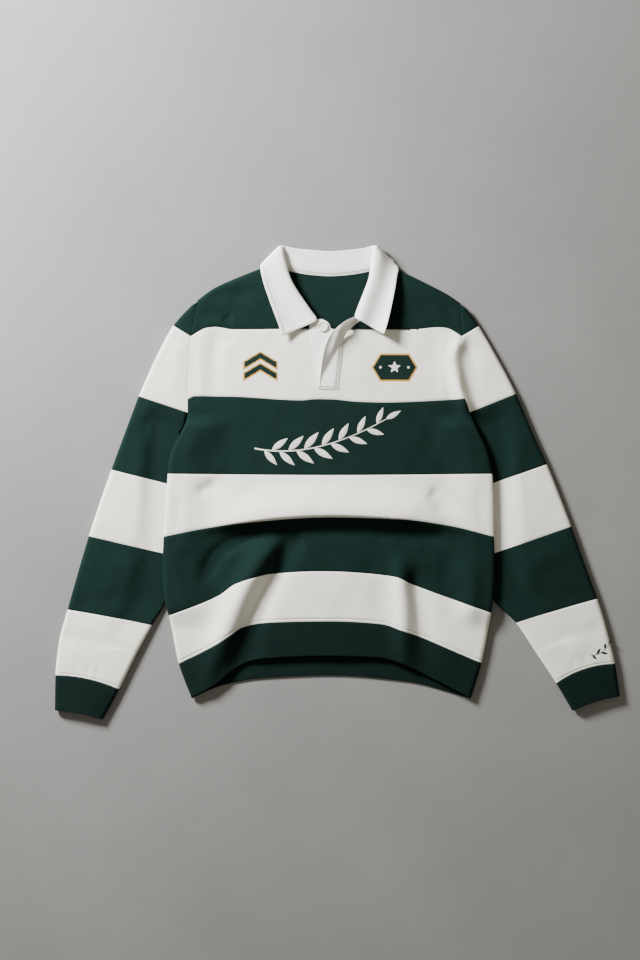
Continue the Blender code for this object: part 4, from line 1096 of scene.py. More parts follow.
def sleeve_piece(side, name, start, end, closed):
    """A tube of a sleeve, or an open wall of it above the underarm, with its creases."""
    rows = {row.at: row for row in SLEEVE_ROWS[side]}
    length = math.dist(rows[start].outer, rows[end].outer)
    last_piece = name == "cuff"
    places = start + (end - start) * spaced(length, SLEEVE_SPACING, start > 0, not last_piece)
    trim = HALF_GAP / length * (end - start)
    places[0] += trim if start > 0 else 0
    places[-1] -= 0 if last_piece else trim
    outer = np.array([sleeve_ring(side, at, closed) for at in places])
    x, y, z = outer.transpose(2, 0, 1)
    middle = z.max(axis=1, keepdims=True) / 2
    above, below = smooth_step(1.2, 1.9, z / middle), smooth_step(-0.8, -0.1, -z / middle)
    creases = sum(fold_height(fold, x, y) for fold in SLEEVE_FOLDS) + uneven(x, y)
    from_seam = np.minimum(places - start, end - places) / (end - start) * length
    dip = seam_dip(from_seam if not last_piece else (places - start) / (end - start) * length)
    if name == "cream_5":
        dip = dip + TOPSTITCH_DEPTH * line_dip((end - places) / (end - start) * length - TOPSTITCH)
    dip = np.repeat((dip * (places > 0.1) * SLEEVE_DIP)[:, None], outer.shape[1], axis=1)
    if not closed:
        from_body = np.abs(x - body_side(y, side))
        dip = dip + ARMHOLE_SHARE * seam_dip(from_body)
    creases = creases + (armhole_ridge(x, y) if side == "r" else 0)
    outer[..., 2] += above * (creases - dip) + below * (under_rise(x, y) + 0.5 * dip)
    node = "cuff_" + side if last_piece else "sleeve_" + side + "_" + name
    finish = FINISHES["cuff" if last_piece else name.split("_")[0]]
    made = shell(
        node + "_cloth",
        outer,
        WALL,
        finish.material,
        closed=closed,
        outside=1 if side == "l" else -1,
        free=("last",) if last_piece else (),
    )
    declare(made, node)


def thick_sheet(name, middle, thickness, finish, free, outside=1):
    normal = grid_normals(middle, False, outside)
    outer = middle + normal * thickness / 2
    return shell(name, outer, thickness, finish.material, outside=outside, free=free)


def nearest_on(path, points):
    """For each plan point, the nearest point of a path of points in space."""
    distance = np.hypot(points[:, None, 0] - path[None, :, 0], points[:, None, 1] - path[None, :, 1])
    return path[distance.argmin(axis=1)]


def stand_table(steps):
    return between_rows([(*row.neck, *row.fold, row.neck_top, row.fold_top) for row in STAND_ROWS], steps)


def line_dip(distance):
    """The shallow groove that a line of stitches draws in the cloth."""
    return LINE_DIP * np.exp(-((distance / LINE_WIDTH) ** 2))


def leaf_middle():
    """Middle surface of the collar's leaf, from under its rolled fold to its outer edge."""
    table = between_rows([(*row.fold, *row.edge, row.level) for row in COLLAR_ROWS], LEAF_STEPS)
    fold, edge = table[:, 0:2], table[:, 2:4]
    level = np.clip(table[:, 4], 0, 1)[:, None]
    outward = (edge - fold) / np.hypot(*(edge - fold).T)[:, None]
    fold, edge = fold + FOLD_INSET * outward, edge - EDGE_INSET * outward
    width = np.hypot(*(edge - fold).T)[:, None]
    share = np.linspace(0.0, 1.0, LEAF_COLUMNS)[None, :, None]
    plan = fold[:, None] + share * (edge - fold)[:, None]
    from_fold = share[..., 0] * width
    along = np.linspace(0.0, 1.0, len(table))
    fold_rise = LEAF_RISES[0] + (LEAF_RISES[1] - LEAF_RISES[0]) * smooth_step(0.45, 0.7, along)[:, None]
    rise = fold_rise * np.exp(-((from_fold / LEAF_RISE_WIDTH) ** 2))
    ends = np.cumsum(np.hypot(*np.diff(plan[:, -1], axis=0, prepend=plan[:1, -1]).T))
    from_front = np.minimum(ends, ends[-1] - ends)[:, None]
    from_edge = np.minimum(width - from_fold, from_front)
    rim = LEAF_RIM * smooth_step(0, 1.5, from_edge) * smooth_step(-EDGE_LINE - 1, -EDGE_LINE + 1, -from_edge)
    ends = zip(LEAF_POINT_RISES, (along, 1 - along))
    point_rise = sum(height * (1 - smooth_step(0, LEAF_POINT_SHARE, from_end)) for height, from_end in ends)
    rise = rise + point_rise[:, None] * share[..., 0] ** 2
    on_front = front_height(plan[..., 0], plan[..., 1]) + LEAF_CLEARANCE + rise
    height = COLLAR_WALL / 2 + level * (on_front + rim - line_dip(from_edge - EDGE_LINE))
    leaf = np.concatenate([plan, height[..., None]], axis=-1)
    stand = stand_table(LEAF_STEPS)
    stand_fold = np.concatenate([stand[:, 2:4], stand[:, 5:6] - COLLAR_WALL / 2], axis=1)
    partner = nearest_on(stand_fold, leaf[:, 0])
    half = (leaf[:, 0] - partner) / 2
    reach = np.hypot(half[:, 0], half[:, 1])[:, None]
    half[:, :2] *= np.minimum(1.0, MOST_ROLL_REACH / np.maximum(reach, 1e-6))
    lean = np.pi * (1 - level)
    bulge = np.concatenate([-outward * np.abs(np.cos(lean)), np.sin(lean)], axis=1)
    radius = np.linalg.norm(half, axis=1, keepdims=True)
    turn = np.linspace(FOLD_TURN, 0.0, FOLD_COLUMNS + 1)[:-1, None, None]
    arc = (leaf[:, 0] - half) + half * np.cos(turn) + bulge * radius * np.sin(turn)
    return np.concatenate([arc.transpose(1, 0, 2), leaf], axis=1)


def collar_leaf():
    middle = leaf_middle()
    free = ("first", "last", "right")
    made = thick_sheet("collar_leaf_cloth", middle, COLLAR_WALL, FINISHES["collar"], free)
    declare(made, "collar_leaf")


def stand_middle():
    table = stand_table(LEAF_STEPS)
    steep = np.linspace(0, STAND_STEEP_SHARE, STAND_COLUMNS[0] + 1)[:-1]
    share = np.concatenate([steep, np.linspace(STAND_STEEP_SHARE, 1, STAND_COLUMNS[1] + 1)])
    share = share[None, :, None]
    plan = table[:, None, 0:2] + share * (table[:, None, 2:4] - table[:, None, 0:2])
    steep = smooth_step(0, STAND_STEEP_SHARE, share[..., 0])
    climb = STAND_STEEP_CLIMB * steep + (1 - STAND_STEEP_CLIMB) * share[..., 0]
    height = table[:, None, 4] + climb * (table[:, None, 5] - table[:, None, 4]) - COLLAR_WALL / 2
    width = np.hypot(*(table[:, 2:4] - table[:, 0:2]).T)[:, None]
    height = height - line_dip(share[..., 0] * width - STAND_LINE)
    return np.concatenate([plan, height[..., None]], axis=-1)


def collar_stand():
    middle = stand_middle()
    made = thick_sheet("collar_stand_cloth", middle, COLLAR_WALL, FINISHES["collar"], ("first", "last"), -1)
    declare(made, "collar_stand")


def flap_rise(rise, from_left):
    """How far a flap stands off at a distance from its left edge, where it is lifted by the given rise."""
    lifted = np.logaddexp(0.0, (rise - FLAP_SLOPE * from_left) / FLAP_SOFTNESS)
    unlifted = np.logaddexp(0.0, -FLAP_SLOPE * from_left / FLAP_SOFTNESS)
    return FLAP_SOFTNESS * (lifted - unlifted)


def placket(name, rows, clearance, sewn):
    """A placket on the front, with the grooves of its stitches. It comes down where its side is sewn on."""
    table = between_rows([(*row.left, *row.right, row.rise) for row in rows], PLACKET_FINE_STEPS)
    share = np.linspace(0.0, 1.0, PLACKET_COLUMNS)[None, :]
    across = table[:, None, 2:4] - table[:, None, 0:2]
    plan = table[:, None, 0:2] + share[..., None] * across
    x, y = plan[..., 0], plan[..., 1]
    width = np.hypot(across[..., 0], across[..., 1])
    from_left, from_right = share * width, (1 - share) * width
    from_sewn = from_right if sewn == "right" else from_left
    from_free = from_left if sewn == "right" else from_right
    loose = smooth_step(0, SEWN_WIDTH, from_sewn)
    from_end = np.broadcast_to((y - y[-1:]), y.shape)
    if sewn == "right":
        loose = loose * smooth_step(0, SEWN_WIDTH, from_end)
    height = front_height(x, y) + clearance * loose + SEWN_CLEARANCE * (1 - loose) + PLACKET_FINE_WALL
    height = height + flap_rise(table[:, 4:5], from_left)
    for line in PLACKET_LINES:
        height = height - line_dip(from_sewn - line)
    height = height - line_dip(from_free - PLACKET_LINE)
    if sewn == "right":
        height = height - line_dip(from_end - PLACKET_BOX)
    top = np.stack([x, y, height], axis=-1)
    made = shell(name + "_cloth", top, PLACKET_FINE_WALL, FINISHES["collar"].material, free=ALL_EDGES)
    declare(made, name)


def tree_of(name):
    made = bpy.data.materials.new(name)
    made.use_nodes = True
    return made, made.node_tree, made.node_tree.nodes["Principled BSDF"]


def node(tree, kind, **inputs):
    """A shader node with some of its inputs set, by their names with _ for a space."""
    made = tree.nodes.new(kind)
    for socket, value in inputs.items():
        made.inputs[socket.replace("_", " ")].default_value = value
    return made


def scaled_map(tree, across, along):
    """Coordinates of the cloth in repeats, from its UV map in metres."""
    source = tree.nodes.new("ShaderNodeUVMap")
    source.uv_map = "cloth"
    mapping = node(tree, "ShaderNodeMapping", Scale=(across, along, 1.0))
    tree.links.new(source.outputs["UV"], mapping.inputs["Vector"])
    return mapping.outputs["Vector"]


def add_bump(tree, shader, height, distance, below=None):
    bump = node(tree, "ShaderNodeBump", Strength=1.0, Distance=distance)
    tree.links.new(height, bump.inputs["Height"])
    if below:
        tree.links.new(below.outputs["Normal"], bump.inputs["Normal"])
    tree.links.new(bump.outputs["Normal"], shader.inputs["Normal"])
    return bump


def blend_colours(tree, factor, low, high):
    mix = tree.nodes.new("ShaderNodeMix")
    mix.data_type = "RGBA"
    mix.inputs["A"].default_value = (*low, 1.0)
    mix.inputs["B"].default_value = (*high, 1.0)
    tree.links.new(factor, mix.inputs["Factor"])
    return mix.outputs["Result"]


def stretched(tree, value, low, high):
    """A value from low to high, stretched to run from 0 to 1."""
    ramp = node(tree, "ShaderNodeMapRange", From_Min=low, From_Max=high)
    tree.links.new(value, ramp.inputs["Value"])
    return ramp.outputs["Result"]


def knit(name, low, high, roughness, sheen, ribs=None):
    """Brushed knit: soft mottling, fine fibres, and the wales of the knit or wider ribs."""
    made, tree, shader = tree_of(name)
    shader.inputs["Roughness"].default_value = roughness
    shader.inputs["Specular IOR Level"].default_value = 0.12
    shader.inputs["Sheen Weight"].default_value = sheen
    shader.inputs["Sheen Roughness"].default_value = 0.55
    shader.inputs["Sheen Tint"].default_value = (*[min(1.0, 1.6 * part + 0.02) for part in high], 1.0)
    metres = scaled_map(tree, 1.0, 1.0)
    mottle = node(tree, "ShaderNodeTexNoise", Scale=55.0, Detail=5.0, Roughness=0.62)
    tree.links.new(metres, mottle.inputs["Vector"])
    colour = blend_colours(tree, stretched(tree, mottle.outputs["Fac"], 0.33, 0.67), low, high)
    tree.links.new(colour, shader.inputs["Base Color"])
    fibre = node(tree, "ShaderNodeTexNoise", Scale=900.0, Detail=3.0, Roughness=0.7)
    tree.links.new(metres, fibre.inputs["Vector"])
    soft = add_bump(tree, shader, fibre.outputs["Fac"], 0.00035)
    wales = node(tree, "ShaderNodeTexWave", Scale=1.0, Distortion=1.2, Detail=2.0, Detail_Scale=0.6)
    wales.bands_direction = "X"
    wales.wave_profile = "SIN"
    repeats = 1000.0 / (ribs if ribs else KNIT_WALE) / WAVE_REPEAT
    tree.links.new(scaled_map(tree, repeats, repeats * (0.05 if ribs else 0.35)), wales.inputs["Vector"])
    add_bump(tree, shader, wales.outputs["Fac"], 0.00010 if ribs else 0.00012, below=soft)
    return made


def woven(name, low, high):
    """Close cotton twill, as on a collar."""
    made, tree, shader = tree_of(name)
    shader.inputs["Roughness"].default_value = 0.82
    shader.inputs["Specular IOR Level"].default_value = 0.3
    shader.inputs["Sheen Weight"].default_value = 0.12
    shader.inputs["Sheen Roughness"].default_value = 0.5
    metres = scaled_map(tree, 1.0, 1.0)
    mottle = node(tree, "ShaderNodeTexNoise", Scale=70.0, Detail=4.0, Roughness=0.55)
    tree.links.new(metres, mottle.inputs["Vector"])
    colour = blend_colours(tree, stretched(tree, mottle.outputs["Fac"], 0.3, 0.7), low, high)
    tree.links.new(colour, shader.inputs["Base Color"])
    slub = node(tree, "ShaderNodeTexNoise", Scale=700.0, Detail=2.0)
    tree.links.new(metres, slub.inputs["Vector"])
    soft = add_bump(tree, shader, slub.outputs["Fac"], 0.00015)
    twill = node(tree, "ShaderNodeTexWave", Scale=1.0, Distortion=0.4, Detail=1.0)
    twill.bands_direction = "DIAGONAL"
    repeats = 1000.0 / TWILL_LINE / WAVE_REPEAT
    tree.links.new(scaled_map(tree, repeats, repeats), twill.inputs["Vector"])
    add_bump(tree, shader, twill.outputs["Fac"], 0.00012, below=soft)
    return made


def thread(name, colour, lighter):
    """Twisted, slightly glossy thread, for stitches and embroidery."""
    made, tree, shader = tree_of(name)
    shader.inputs["Roughness"].default_value = 0.65
    shader.inputs["Specular IOR Level"].default_value = 0.15
    twist = node(tree, "ShaderNodeTexWave", Scale=1.0, Distortion=1.5, Detail=2.0)
    twist.bands_direction = "DIAGONAL"
    repeats = 1000.0 / THREAD_WIDTH / WAVE_REPEAT
    tree.links.new(scaled_map(tree, repeats, repeats), twist.inputs["Vector"])
    tree.links.new(blend_colours(tree, twist.outputs["Fac"], colour, lighter), shader.inputs["Base Color"])
    add_bump(tree, shader, twist.outputs["Fac"], 0.0002)
    return made


def resin(name, low, high):
    made, tree, shader = tree_of(name)
    shader.inputs["Roughness"].default_value = 0.28
    shader.inputs["Coat Weight"].default_value = 0.3
    shader.inputs["Coat Roughness"].default_value = 0.15
    cloud = node(tree, "ShaderNodeTexNoise", Scale=160.0, Detail=3.0, Distortion=1.5)
    tree.links.new(scaled_map(tree, 1.0, 1.0), cloud.inputs["Vector"])
    colour = blend_colours(tree, stretched(tree, cloud.outputs["Fac"], 0.35, 0.65), low, high)
    tree.links.new(colour, shader.inputs["Base Color"])
    return made


def button():
    """A button with a raised rim, turned from its profile."""
    profile = np.array(BUTTON_PROFILE)
    turn = np.linspace(0, 2 * math.pi, BUTTON_SIDES + 1)[:-1]
    points = [(0.0, 0.0, profile[0, 1])]
    for radius, height in profile[1:-1]:
        points += [(radius * math.cos(angle), radius * math.sin(angle), height) for angle in turn]
    points.append((0.0, 0.0, profile[-1, 1]))
    faces = []
    rings = len(profile) - 2
    for side in range(BUTTON_SIDES):
        after = (side + 1) % BUTTON_SIDES
        faces.append((0, 1 + after, 1 + side))
        for ring in range(rings - 1):
            here, above = 1 + ring * BUTTON_SIDES, 1 + (ring + 1) * BUTTON_SIDES
            faces.append((here + side, here + after, above + after, above + side))
        last = 1 + (rings - 1) * BUTTON_SIDES
        faces.append((last + side, last + after, len(points) - 1))
    points = np.array(points)
    x, y = BUTTON_PLACE
    base = float(front_height(np.array([x]), np.array([y]))[0])
    height = base + SEAM_GAP + PLACKET_WALL + SEAM_GAP + BUTTON_THICKNESS / 2
    points = points + (x, y, height + 0.2)
    uvs = [points[corner, :2] * MM for face in faces for corner in face]
    made = make_object("button_disc", points, faces, uvs, FINISHES["button"].material)
    made.data.shade_smooth()
    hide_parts("button")
    ON_CLOTH["placket_under"].append(made)


def surface_of(made):
    corners = [vertex.co for vertex in made.data.vertices]
    return BVHTree.FromPolygons(corners, [face.vertices for face in made.data.polygons])


def heights_on(surface, points):
    """Heights, in millimetres, at which plan points meet a surface from above."""
    heights = []
    for x, y in points:
        start = ((x - OUTLINE_MIDDLE[0]) * MM, (y - OUTLINE_MIDDLE[1]) * MM, 1.0)
        hit = surface.ray_cast(start, (0, 0, -1))[0]
        heights.append(hit.z / MM if hit else np.nan)
    heights = np.array(heights)
    return np.where(np.isnan(heights), np.nanmean(heights), heights)


def resampled(outline, spacing):
    """A closed outline with more points on its long sides."""
    outline = np.asarray(outline, float)
    points = []
    for start, end in zip(outline, np.roll(outline, -1, axis=0)):
        steps = max(1, round(math.dist(start, end) / spacing))
        points += [start + (end - start) * step / steps for step in range(steps)]
    return np.array(points)


def from_outline(outline, points):
    """The distance of each point from a closed outline."""
    start, run = outline, np.roll(outline, -1, axis=0) - outline
    away = points[:, None] - start
    along = np.clip((away * run).sum(-1) / (run * run).sum(-1), 0, 1)
    return np.linalg.norm(away - along[..., None] * run, axis=-1).min(axis=1)


def grown(outline, by):
    """An outline, given anticlockwise, moved outwards by a distance."""
    outline = np.asarray(outline, float)
    before, after = outline - np.roll(outline, 1, axis=0), np.roll(outline, -1, axis=0) - outline
    before /= np.linalg.norm(before, axis=1, keepdims=True)
    after /= np.linalg.norm(after, axis=1, keepdims=True)
    out_before = np.stack([before[:, 1], -before[:, 0]], axis=1)
    out_after = np.stack([after[:, 1], -after[:, 0]], axis=1)
    mitre = (out_before + out_after) / (1 + (out_before * out_after).sum(axis=1, keepdims=True))
    return outline + by * mitre


def applied(name, node, outlines, thickness, material, lift=PRINT_LIFT):
    """Flat shapes sewn or printed on a piece of cloth, softly rounded at their edges."""
    surface = surface_of(CLOTH[node])
    points, faces = [], []
    for outline in outlines:
        edge = resampled(outline, PRINT_SPACING)
        low, high = edge.min(axis=0), edge.max(axis=0)
        grid = np.stack(
            np.meshgrid(*(np.arange(low[axis], high[axis], PRINT_SPACING) for axis in range(2))), axis=-1
        ).reshape(-1, 2)
        grid = grid[from_outline(edge, grid) > PRINT_SPACING / 2]
        coords = [Vector(point) for point in np.concatenate([edge, grid])]
        ring = list(range(len(edge)))
        made = delaunay_2d_cdt(coords, [], [ring], 1, 1e-6)
        plan = np.array([tuple(point) for point in made[0]])
        inside = np.minimum(from_outline(edge, plan) / PRINT_EDGE, 1.0)
        base = heights_on(surface, plan) + lift
        top = base + thickness * (0.3 + 0.7 * np.sqrt(1 - (1 - inside) ** 2))
        offset = len(points)
        points += np.column_stack([plan, top]).tolist()
        faces += [tuple(offset + corner for corner in face) for face in made[2]]
        ring = np.array([made[3].index([corner]) if [corner] in made[3] else corner for corner in ring])
        under = len(points)
        points += np.column_stack([plan[ring], base[ring] - 2 * lift]).tolist()
        count = len(ring)
        for corner in range(count):
            after = (corner + 1) % count
            faces.append((offset + ring[corner], under + corner, under + after, offset + ring[after]))
    uvs = [np.asarray(points[corner][:2]) * MM for face in faces for corner in face]
    made = make_object(name, points, faces, uvs, material)
    finish_mesh(made, (), 0)
    ON_CLOTH[node].append(made)


def chevrons():
    green, gold = [], []
    for top in CHEVRON_TOPS:
        side = top - CHEVRON_DROP
        under = side - CHEVRON_BAND
        outline = [(-CHEVRON_HALF, under), (0, top - CHEVRON_BAND), (CHEVRON_HALF, under)]
        outline += [(CHEVRON_HALF, side), (0, top), (-CHEVRON_HALF, side)]
        outline = np.array(outline) + (CHEVRON_MIDDLE, 0)
        green.append(outline)
        gold.append(grown(outline, GOLD_EDGE))
    applied("chevron_edges", "front_cream_1", gold, 0.35, FINISHES["gold_thread"].material)
    applied("chevrons", "front_cream_1", green, 0.6, FINISHES["green_thread"].material)


def badge():
    """A long hexagon with a gold rim and a star."""
    middle = np.array(BADGE_PLACE)
    half_x, half_y = BADGE_HALF
    corner = half_x - BADGE_CORNER
    hexagon = np.array(
        [(-half_x, 0), (-corner, -half_y), (corner, -half_y), (half_x, 0), (corner, half_y), (-corner, half_y)]
    )
    turn = np.arange(2 * STAR_POINTS) * math.pi / STAR_POINTS + math.pi / 2
    radius = np.where(np.arange(2 * STAR_POINTS) % 2 == 0, *STAR_RADII)[:, None]
    star = radius * np.stack([np.cos(turn), np.sin(turn)], axis=1)
    half_diamond = np.array(DIAMOND_HALF)
    diamond = np.array([(-1, 0), (0, -1), (1, 0), (0, 1)]) * half_diamond
    diamonds = [diamond + (place, 0) for place in (-SIDE_DIAMOND, SIDE_DIAMOND)]
    gold, green, cream = (FINISHES[name + "_thread"].material for name in ("gold", "green", "cream"))
    applied("badge_rim", "front_cream_1", [hexagon + middle], 0.35, gold)
    applied("badge_field", "front_cream_1", [grown(hexagon, -BADGE_RIM) + middle], 0.6, green)
    applied("badge_star", "front_cream_1", [shape + middle for shape in [star, *diamonds]], 0.85, cream)


def leaf_outline(base, direction, length, width):
    """A pointed leaf from its base, anticlockwise."""
    share = np.linspace(0.0, 1.0, LEAF_STEPS_ROUND)
    half = width / 2 * np.sin(math.pi * share**0.85)
    along, across = np.array(direction), np.array([-direction[1], direction[0]])
    right = base + length * share[:, None] * along - half[:, None] * across
    left = base + length * share[:, None] * along + half[:, None] * across
    return np.concatenate([right[:-1], left[::-1][:-1]])


def leafy_stem(stem, count, leaf, stem_width, turn):
    """A stem along a curve through three points, with leaves on alternate sides and one at its end."""
    start, middle, end = (np.asarray(point, float) for point in stem)
    share = np.linspace(0.0, 1.0, STEM_STEPS + 1)[:, None]
    handle = 2 * middle - (start + end) / 2
    path = (1 - share) ** 2 * start + 2 * share * (1 - share) * handle + share**2 * end
    along = np.gradient(path, axis=0)
    along /= np.linalg.norm(along, axis=1, keepdims=True)
    across = np.stack([-along[:, 1], along[:, 0]], axis=1)
    half = stem_width / 2 * (1 - 0.5 * share)
    shapes = [np.concatenate([path - half * across, (path + half * across)[::-1]])]
    for place in range(count):
        at = round(STEM_STEPS * (0.08 + 0.92 * place / (count - 1)))
        side = 0 if place == count - 1 else (1 if place % 2 else -1)
        lean = side * turn
        direction = math.cos(lean) * along[at] + math.sin(lean) * across[at]
        scale = 1 - 0.35 * abs(place / (count - 1) - 0.35)
        base = path[at] + side * half[at] * across[at]
        shapes.append(leaf_outline(base, direction, leaf[0] * scale, leaf[1] * scale))
    return shapes


def branch():
    shapes = leafy_stem(BRANCH_STEM, BRANCH_LEAVES, BRANCH_LEAF, BRANCH_STEM_WIDTH, BRANCH_TURN)
    applied("branch", "front_green_2", shapes, 0.5, FINISHES["cream_thread"].material)


def sprig():
    shapes = leafy_stem(SPRIG_STEM, SPRIG_LEAVES, SPRIG_LEAF, SPRIG_STEM_WIDTH, BRANCH_TURN)
    applied("sprig", "sleeve_r_cream_5", shapes, 0.4, FINISHES["green_thread"].material)


def stitches(line):
    """Short rounded stitches along a path on a piece of cloth."""
    surface = surface_of(CLOTH[line.node])
    path = np.asarray(line.path(), float)
    lengths = np.concatenate([[0.0], np.cumsum(np.hypot(*np.diff(path, axis=0).T))])
    count = int(lengths[-1] // (STITCH_LENGTH + STITCH_GAP))
    starts = np.arange(count) * lengths[-1] / count
    share = np.array([0.0, 0.18, 0.5, 0.82, 1.0])
    at = (starts[:, None] + share * STITCH_LENGTH).ravel()
    plan = np.stack([np.interp(at, lengths, path[:, axis]) for axis in range(2)], axis=-1)
    base = heights_on(surface, plan)
    middles = np.column_stack([plan, base]).reshape(count, len(share), 3)
    middles[..., 2] += STITCH_RADIUS * (np.array([-0.9, 0.25, 0.5, 0.25, -0.9]))
    along = middles[:, -1] - middles[:, 0]
    along /= np.linalg.norm(along, axis=1, keepdims=True)
    across = np.cross(along, (0, 0, 1))
    radius = STITCH_RADIUS * np.array([0.45, 0.9, 1.0, 0.9, 0.45])
    turn = np.arange(STITCH_SIDES) * 2 * math.pi / STITCH_SIDES
    rings = middles[:, :, None] + radius[:, None, None] * (
        np.cos(turn)[:, None] * across[:, None, None] + np.sin(turn)[:, None] * np.array((0, 0, 1.0))
    )
    points = rings.reshape(-1, 3)
    faces = []
    for stitch in range(count):
        first = stitch * len(share) * STITCH_SIDES
        for ring in range(len(share) - 1):
            for side in range(STITCH_SIDES):
                here = first + ring * STITCH_SIDES + side
                after = first + ring * STITCH_SIDES + (side + 1) % STITCH_SIDES
                faces.append((here, after, after + STITCH_SIDES, here + STITCH_SIDES))
        last = first + (len(share) - 1) * STITCH_SIDES
        faces.append(tuple(range(first + STITCH_SIDES - 1, first - 1, -1)))
        faces.append(tuple(range(last, last + STITCH_SIDES)))
    uvs = [points[corner, :2] * MM for face in faces for corner in face]
    made = make_object(line.name, points, faces, uvs, FINISHES["cream_thread"].material)
    made.data.shade_smooth()
    ON_CLOTH[line.node].append(made)


def beside_seam(seam, above, inset):
    """A path just above a seam of the front."""
    points = FRONT_SEAMS[seam]
    x = np.linspace(points[0][0] + inset, points[-1][0] - inset, 160)
    return np.stack([x, seam_y(points, x) + above], axis=-1)


def in_from_leaf_edge():
    table = between_rows([(*row.fold, *row.edge, row.level) for row in COLLAR_ROWS], LEAF_STEPS)
    outward = (table[:, 2:4] - table[:, 0:2]) / np.hypot(*(table[:, 2:4] - table[:, 0:2]).T)[:, None]
    shown = table[:, 4] > 0.5
    paths = []
    for rows in (slice(None, len(table) // 2), slice(len(table) // 2, None)):
        edge, out, keep = table[rows, 2:4], outward[rows], shown[rows]
        paths.append((edge - EDGE_LINE * out)[keep])
    return paths


def in_from_placket(rows, side, inset):
    table = between_rows([(*row.left, *row.right) for row in rows], PLACKET_FINE_STEPS)
    across = table[:, 2:4] - table[:, 0:2]
    across /= np.hypot(*across.T)[:, None]
    path = table[:, 0:2] + inset * across if side == "left" else table[:, 2:4] - inset * across
    return path[4:-2]


def placket_end():
    left, right = (np.array(point, float) for point in PLACKET_OVER[-1][:2])
    share = np.array([0.12, 0.88])[:, None]
    return left + share * (right - left) + (0, PLACKET_BOX)


def round_sleeve(side, at):
    outer, inner, bow, _ = sleeve_row(side, at)
    share = np.linspace(0.06, 0.94, 40)[:, None]
    along = inner - outer
    upward = np.array([-along[1], along[0]]) / np.hypot(*along) * (1 if side == "l" else -1)
    return outer + share * along + 4 * bow * share * (1 - share) * upward


def collar_end(side):
    row = COLLAR_LEFT[0] if side == "l" else COLLAR_RIGHT[-1]
    fold, edge = np.array(row.fold, float), np.array(row.edge, float)
    beside = COLLAR_LEFT[1] if side == "l" else COLLAR_RIGHT[-2]
    up = np.array(beside.fold, float) - fold
    up /= np.hypot(*up)
    share = np.array(LEAF_END_SPAN)[:, None]
    return fold + share * (edge - fold) + EDGE_LINE * up


StitchLine = namedtuple("StitchLine", "name node path")
STITCH_LINES = (
    StitchLine("leaf_stitches_l", "collar_leaf", lambda: in_from_leaf_edge()[0]),
    StitchLine("leaf_stitches_r", "collar_leaf", lambda: in_from_leaf_edge()[1]),
    StitchLine("leaf_end_stitches_l", "collar_leaf", lambda: collar_end("l")),
    StitchLine("leaf_end_stitches_r", "collar_leaf", lambda: collar_end("r")),
    StitchLine(
        "over_left_stitches",
        "placket_over",
        lambda: in_from_placket(PLACKET_OVER, "left", PLACKET_LINE),
    ),
    StitchLine(
        "over_right_stitches",
        "placket_over",
        lambda: in_from_placket(PLACKET_OVER, "right", PLACKET_LINES[0]),
    ),
    StitchLine("over_end_stitches", "placket_over", placket_end),
    StitchLine(
        "under_stitches",
        "placket_under",
        lambda: in_from_placket(PLACKET_UNDER, "left", PLACKET_LINES[0]),
    ),
    StitchLine("hem_stitches", "front_cream_5", lambda: beside_seam("cream_5", TOPSTITCH, HEM_LINE_INSET)),
    StitchLine("cuff_stitches_l", "sleeve_l_cream_5", lambda: round_sleeve("l", CUFF_LINE_ROW)),
    StitchLine("cuff_stitches_r", "sleeve_r_cream_5", lambda: round_sleeve("r", CUFF_LINE_ROW)),
)


def make_finishes():
    green, deep_green = (0.0030, 0.0136, 0.0110), (0.0023, 0.0112, 0.0092)
    rib, deep_rib = (0.0019, 0.0096, 0.0078), (0.0014, 0.0078, 0.0064)
    cream, warm_cream = (0.760, 0.742, 0.668), (0.735, 0.715, 0.638)
    FINISHES["green"] = Finish("green_fleece", knit("green_fleece", deep_green, green, 0.95, 0.02))
    FINISHES["cream"] = Finish("cream_fleece", knit("cream_fleece", warm_cream, cream, 0.92, 0.08))
    ribbed = knit("green_rib", deep_rib, rib, 0.95, 0.01, ribs=RIB)
    FINISHES["hem"] = Finish("green_rib", ribbed)
    FINISHES["cuff"] = Finish("green_rib", ribbed)
    FINISHES["cap"] = FINISHES["green"]
    collar = woven("collar_twill", (0.785, 0.772, 0.725), (0.845, 0.832, 0.79))
    FINISHES["collar"] = Finish("collar_twill", collar)
    FINISHES["button"] = Finish("button_resin", resin("button_resin", (0.62, 0.58, 0.48), (0.78, 0.75, 0.66)))
    green = thread("green_thread", (0.0026, 0.0130, 0.0105), (0.0040, 0.0175, 0.0145))
    FINISHES["green_thread"] = Finish(None, green)
    FINISHES["gold_thread"] = Finish(None, thread("gold_thread", (0.44, 0.23, 0.03), (0.58, 0.33, 0.06)))
    FINISHES["cream_thread"] = Finish(None, thread("cream_thread", (0.62, 0.60, 0.53), (0.76, 0.745, 0.68)))


def aim(made, target):
    made.rotation_euler = (Vector(target) - made.location).to_track_quat("-Z", "Y").to_euler()


def add_camera():
    data = bpy.data.cameras.new("camera")
    data.sensor_fit = "VERTICAL"
    data.sensor_height = data.sensor_width = SENSOR
    data.lens = SENSOR * CAMERA_HEIGHT / VIEW_HEIGHT
    made = bpy.data.objects.new("camera", data)
    made.location = (*VIEW_MIDDLE, CAMERA_HEIGHT)
    bpy.context.scene.collection.objects.link(made)
    bpy.context.scene.camera = made


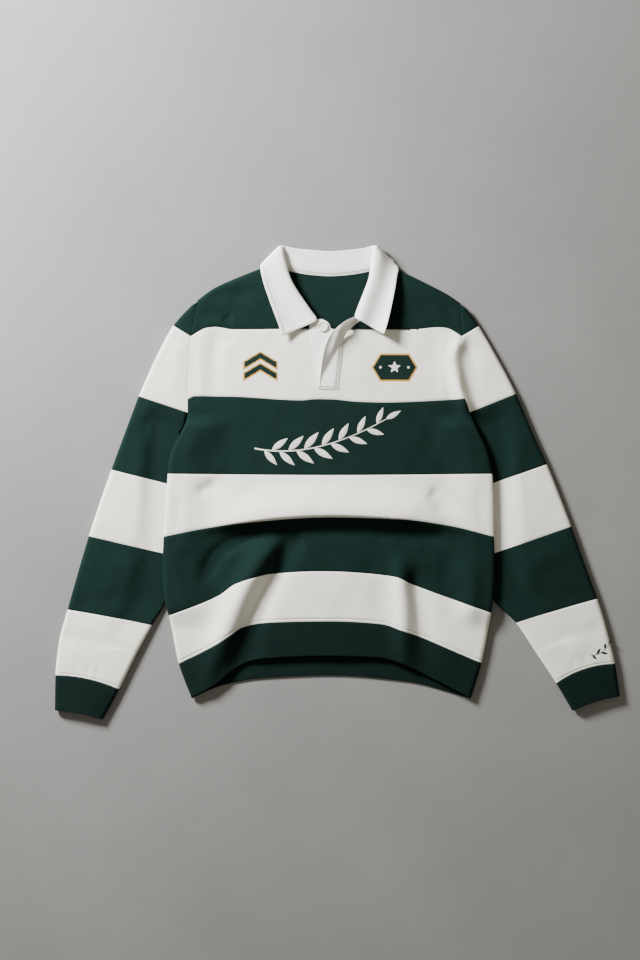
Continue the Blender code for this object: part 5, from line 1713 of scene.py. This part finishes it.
def add_light(name, place, size, power, colour):
    data = bpy.data.lights.new(name, "AREA")
    data.shape = "DISK"
    data.size = size
    data.energy = power
    data.color = colour
    made = bpy.data.objects.new(name, data)
    made.location = place
    bpy.context.scene.collection.objects.link(made)
    aim(made, (0.0, 0.0, 0.0))


def add_surroundings():
    add_light("key", KEY_PLACE, 0.58, 214.0, (0.975, 0.99, 1.0))
    world = bpy.data.worlds.new("studio")
    world.use_nodes = True
    world.node_tree.nodes["Background"].inputs["Color"].default_value = (1.0, 0.93, 0.80, 1.0)
    world.node_tree.nodes["Background"].inputs["Strength"].default_value = 0.36
    bpy.context.scene.world = world
    made, tree, shader = tree_of("pale_floor")
    shader.inputs["Roughness"].default_value = 0.8
    place = tree.nodes.new("ShaderNodeTexCoord")
    mottle = node(tree, "ShaderNodeTexNoise", Scale=3.0, Detail=8.0, Roughness=0.6)
    tree.links.new(place.outputs["Object"], mottle.inputs["Vector"])
    colour = blend_colours(
        tree, stretched(tree, mottle.outputs["Fac"], 0.3, 0.7), (0.165, 0.162, 0.156), (0.195, 0.192, 0.185)
    )
    tree.links.new(colour, shader.inputs["Base Color"])
    mesh = bpy.data.meshes.new("floor")
    half = FLOOR_HALF
    corners = [(-half, -half, FLOOR_LEVEL), (half, -half, FLOOR_LEVEL)]
    corners += [(half, half, FLOOR_LEVEL), (-half, half, FLOOR_LEVEL)]
    mesh.from_pydata(corners, [], [(0, 1, 2, 3)])
    mesh.materials.append(made)
    floor = bpy.data.objects.new("floor", mesh)
    bpy.context.scene.collection.objects.link(floor)


def main():
    add_camera()
    add_surroundings()
    make_finishes()
    front_yoke("l")
    front_yoke("r")
    back_yoke()
    upper = "yoke"
    for stripe in STRIPES:
        front_panel(stripe, upper)
        back_panel(stripe, upper)
        upper = stripe
    for side in ("l", "r"):
        for piece in SLEEVE_PIECES:
            sleeve_piece(side, *piece)
    collar_stand()
    collar_leaf()
    placket("placket_under", PLACKET_UNDER, SEAM_GAP, "left")
    placket("placket_over", PLACKET_OVER, 2 * SEAM_GAP + PLACKET_WALL, "right")
    button()
    chevrons()
    badge()
    branch()
    sprig()
    for stitch_line in STITCH_LINES:
        stitches(stitch_line)


main()
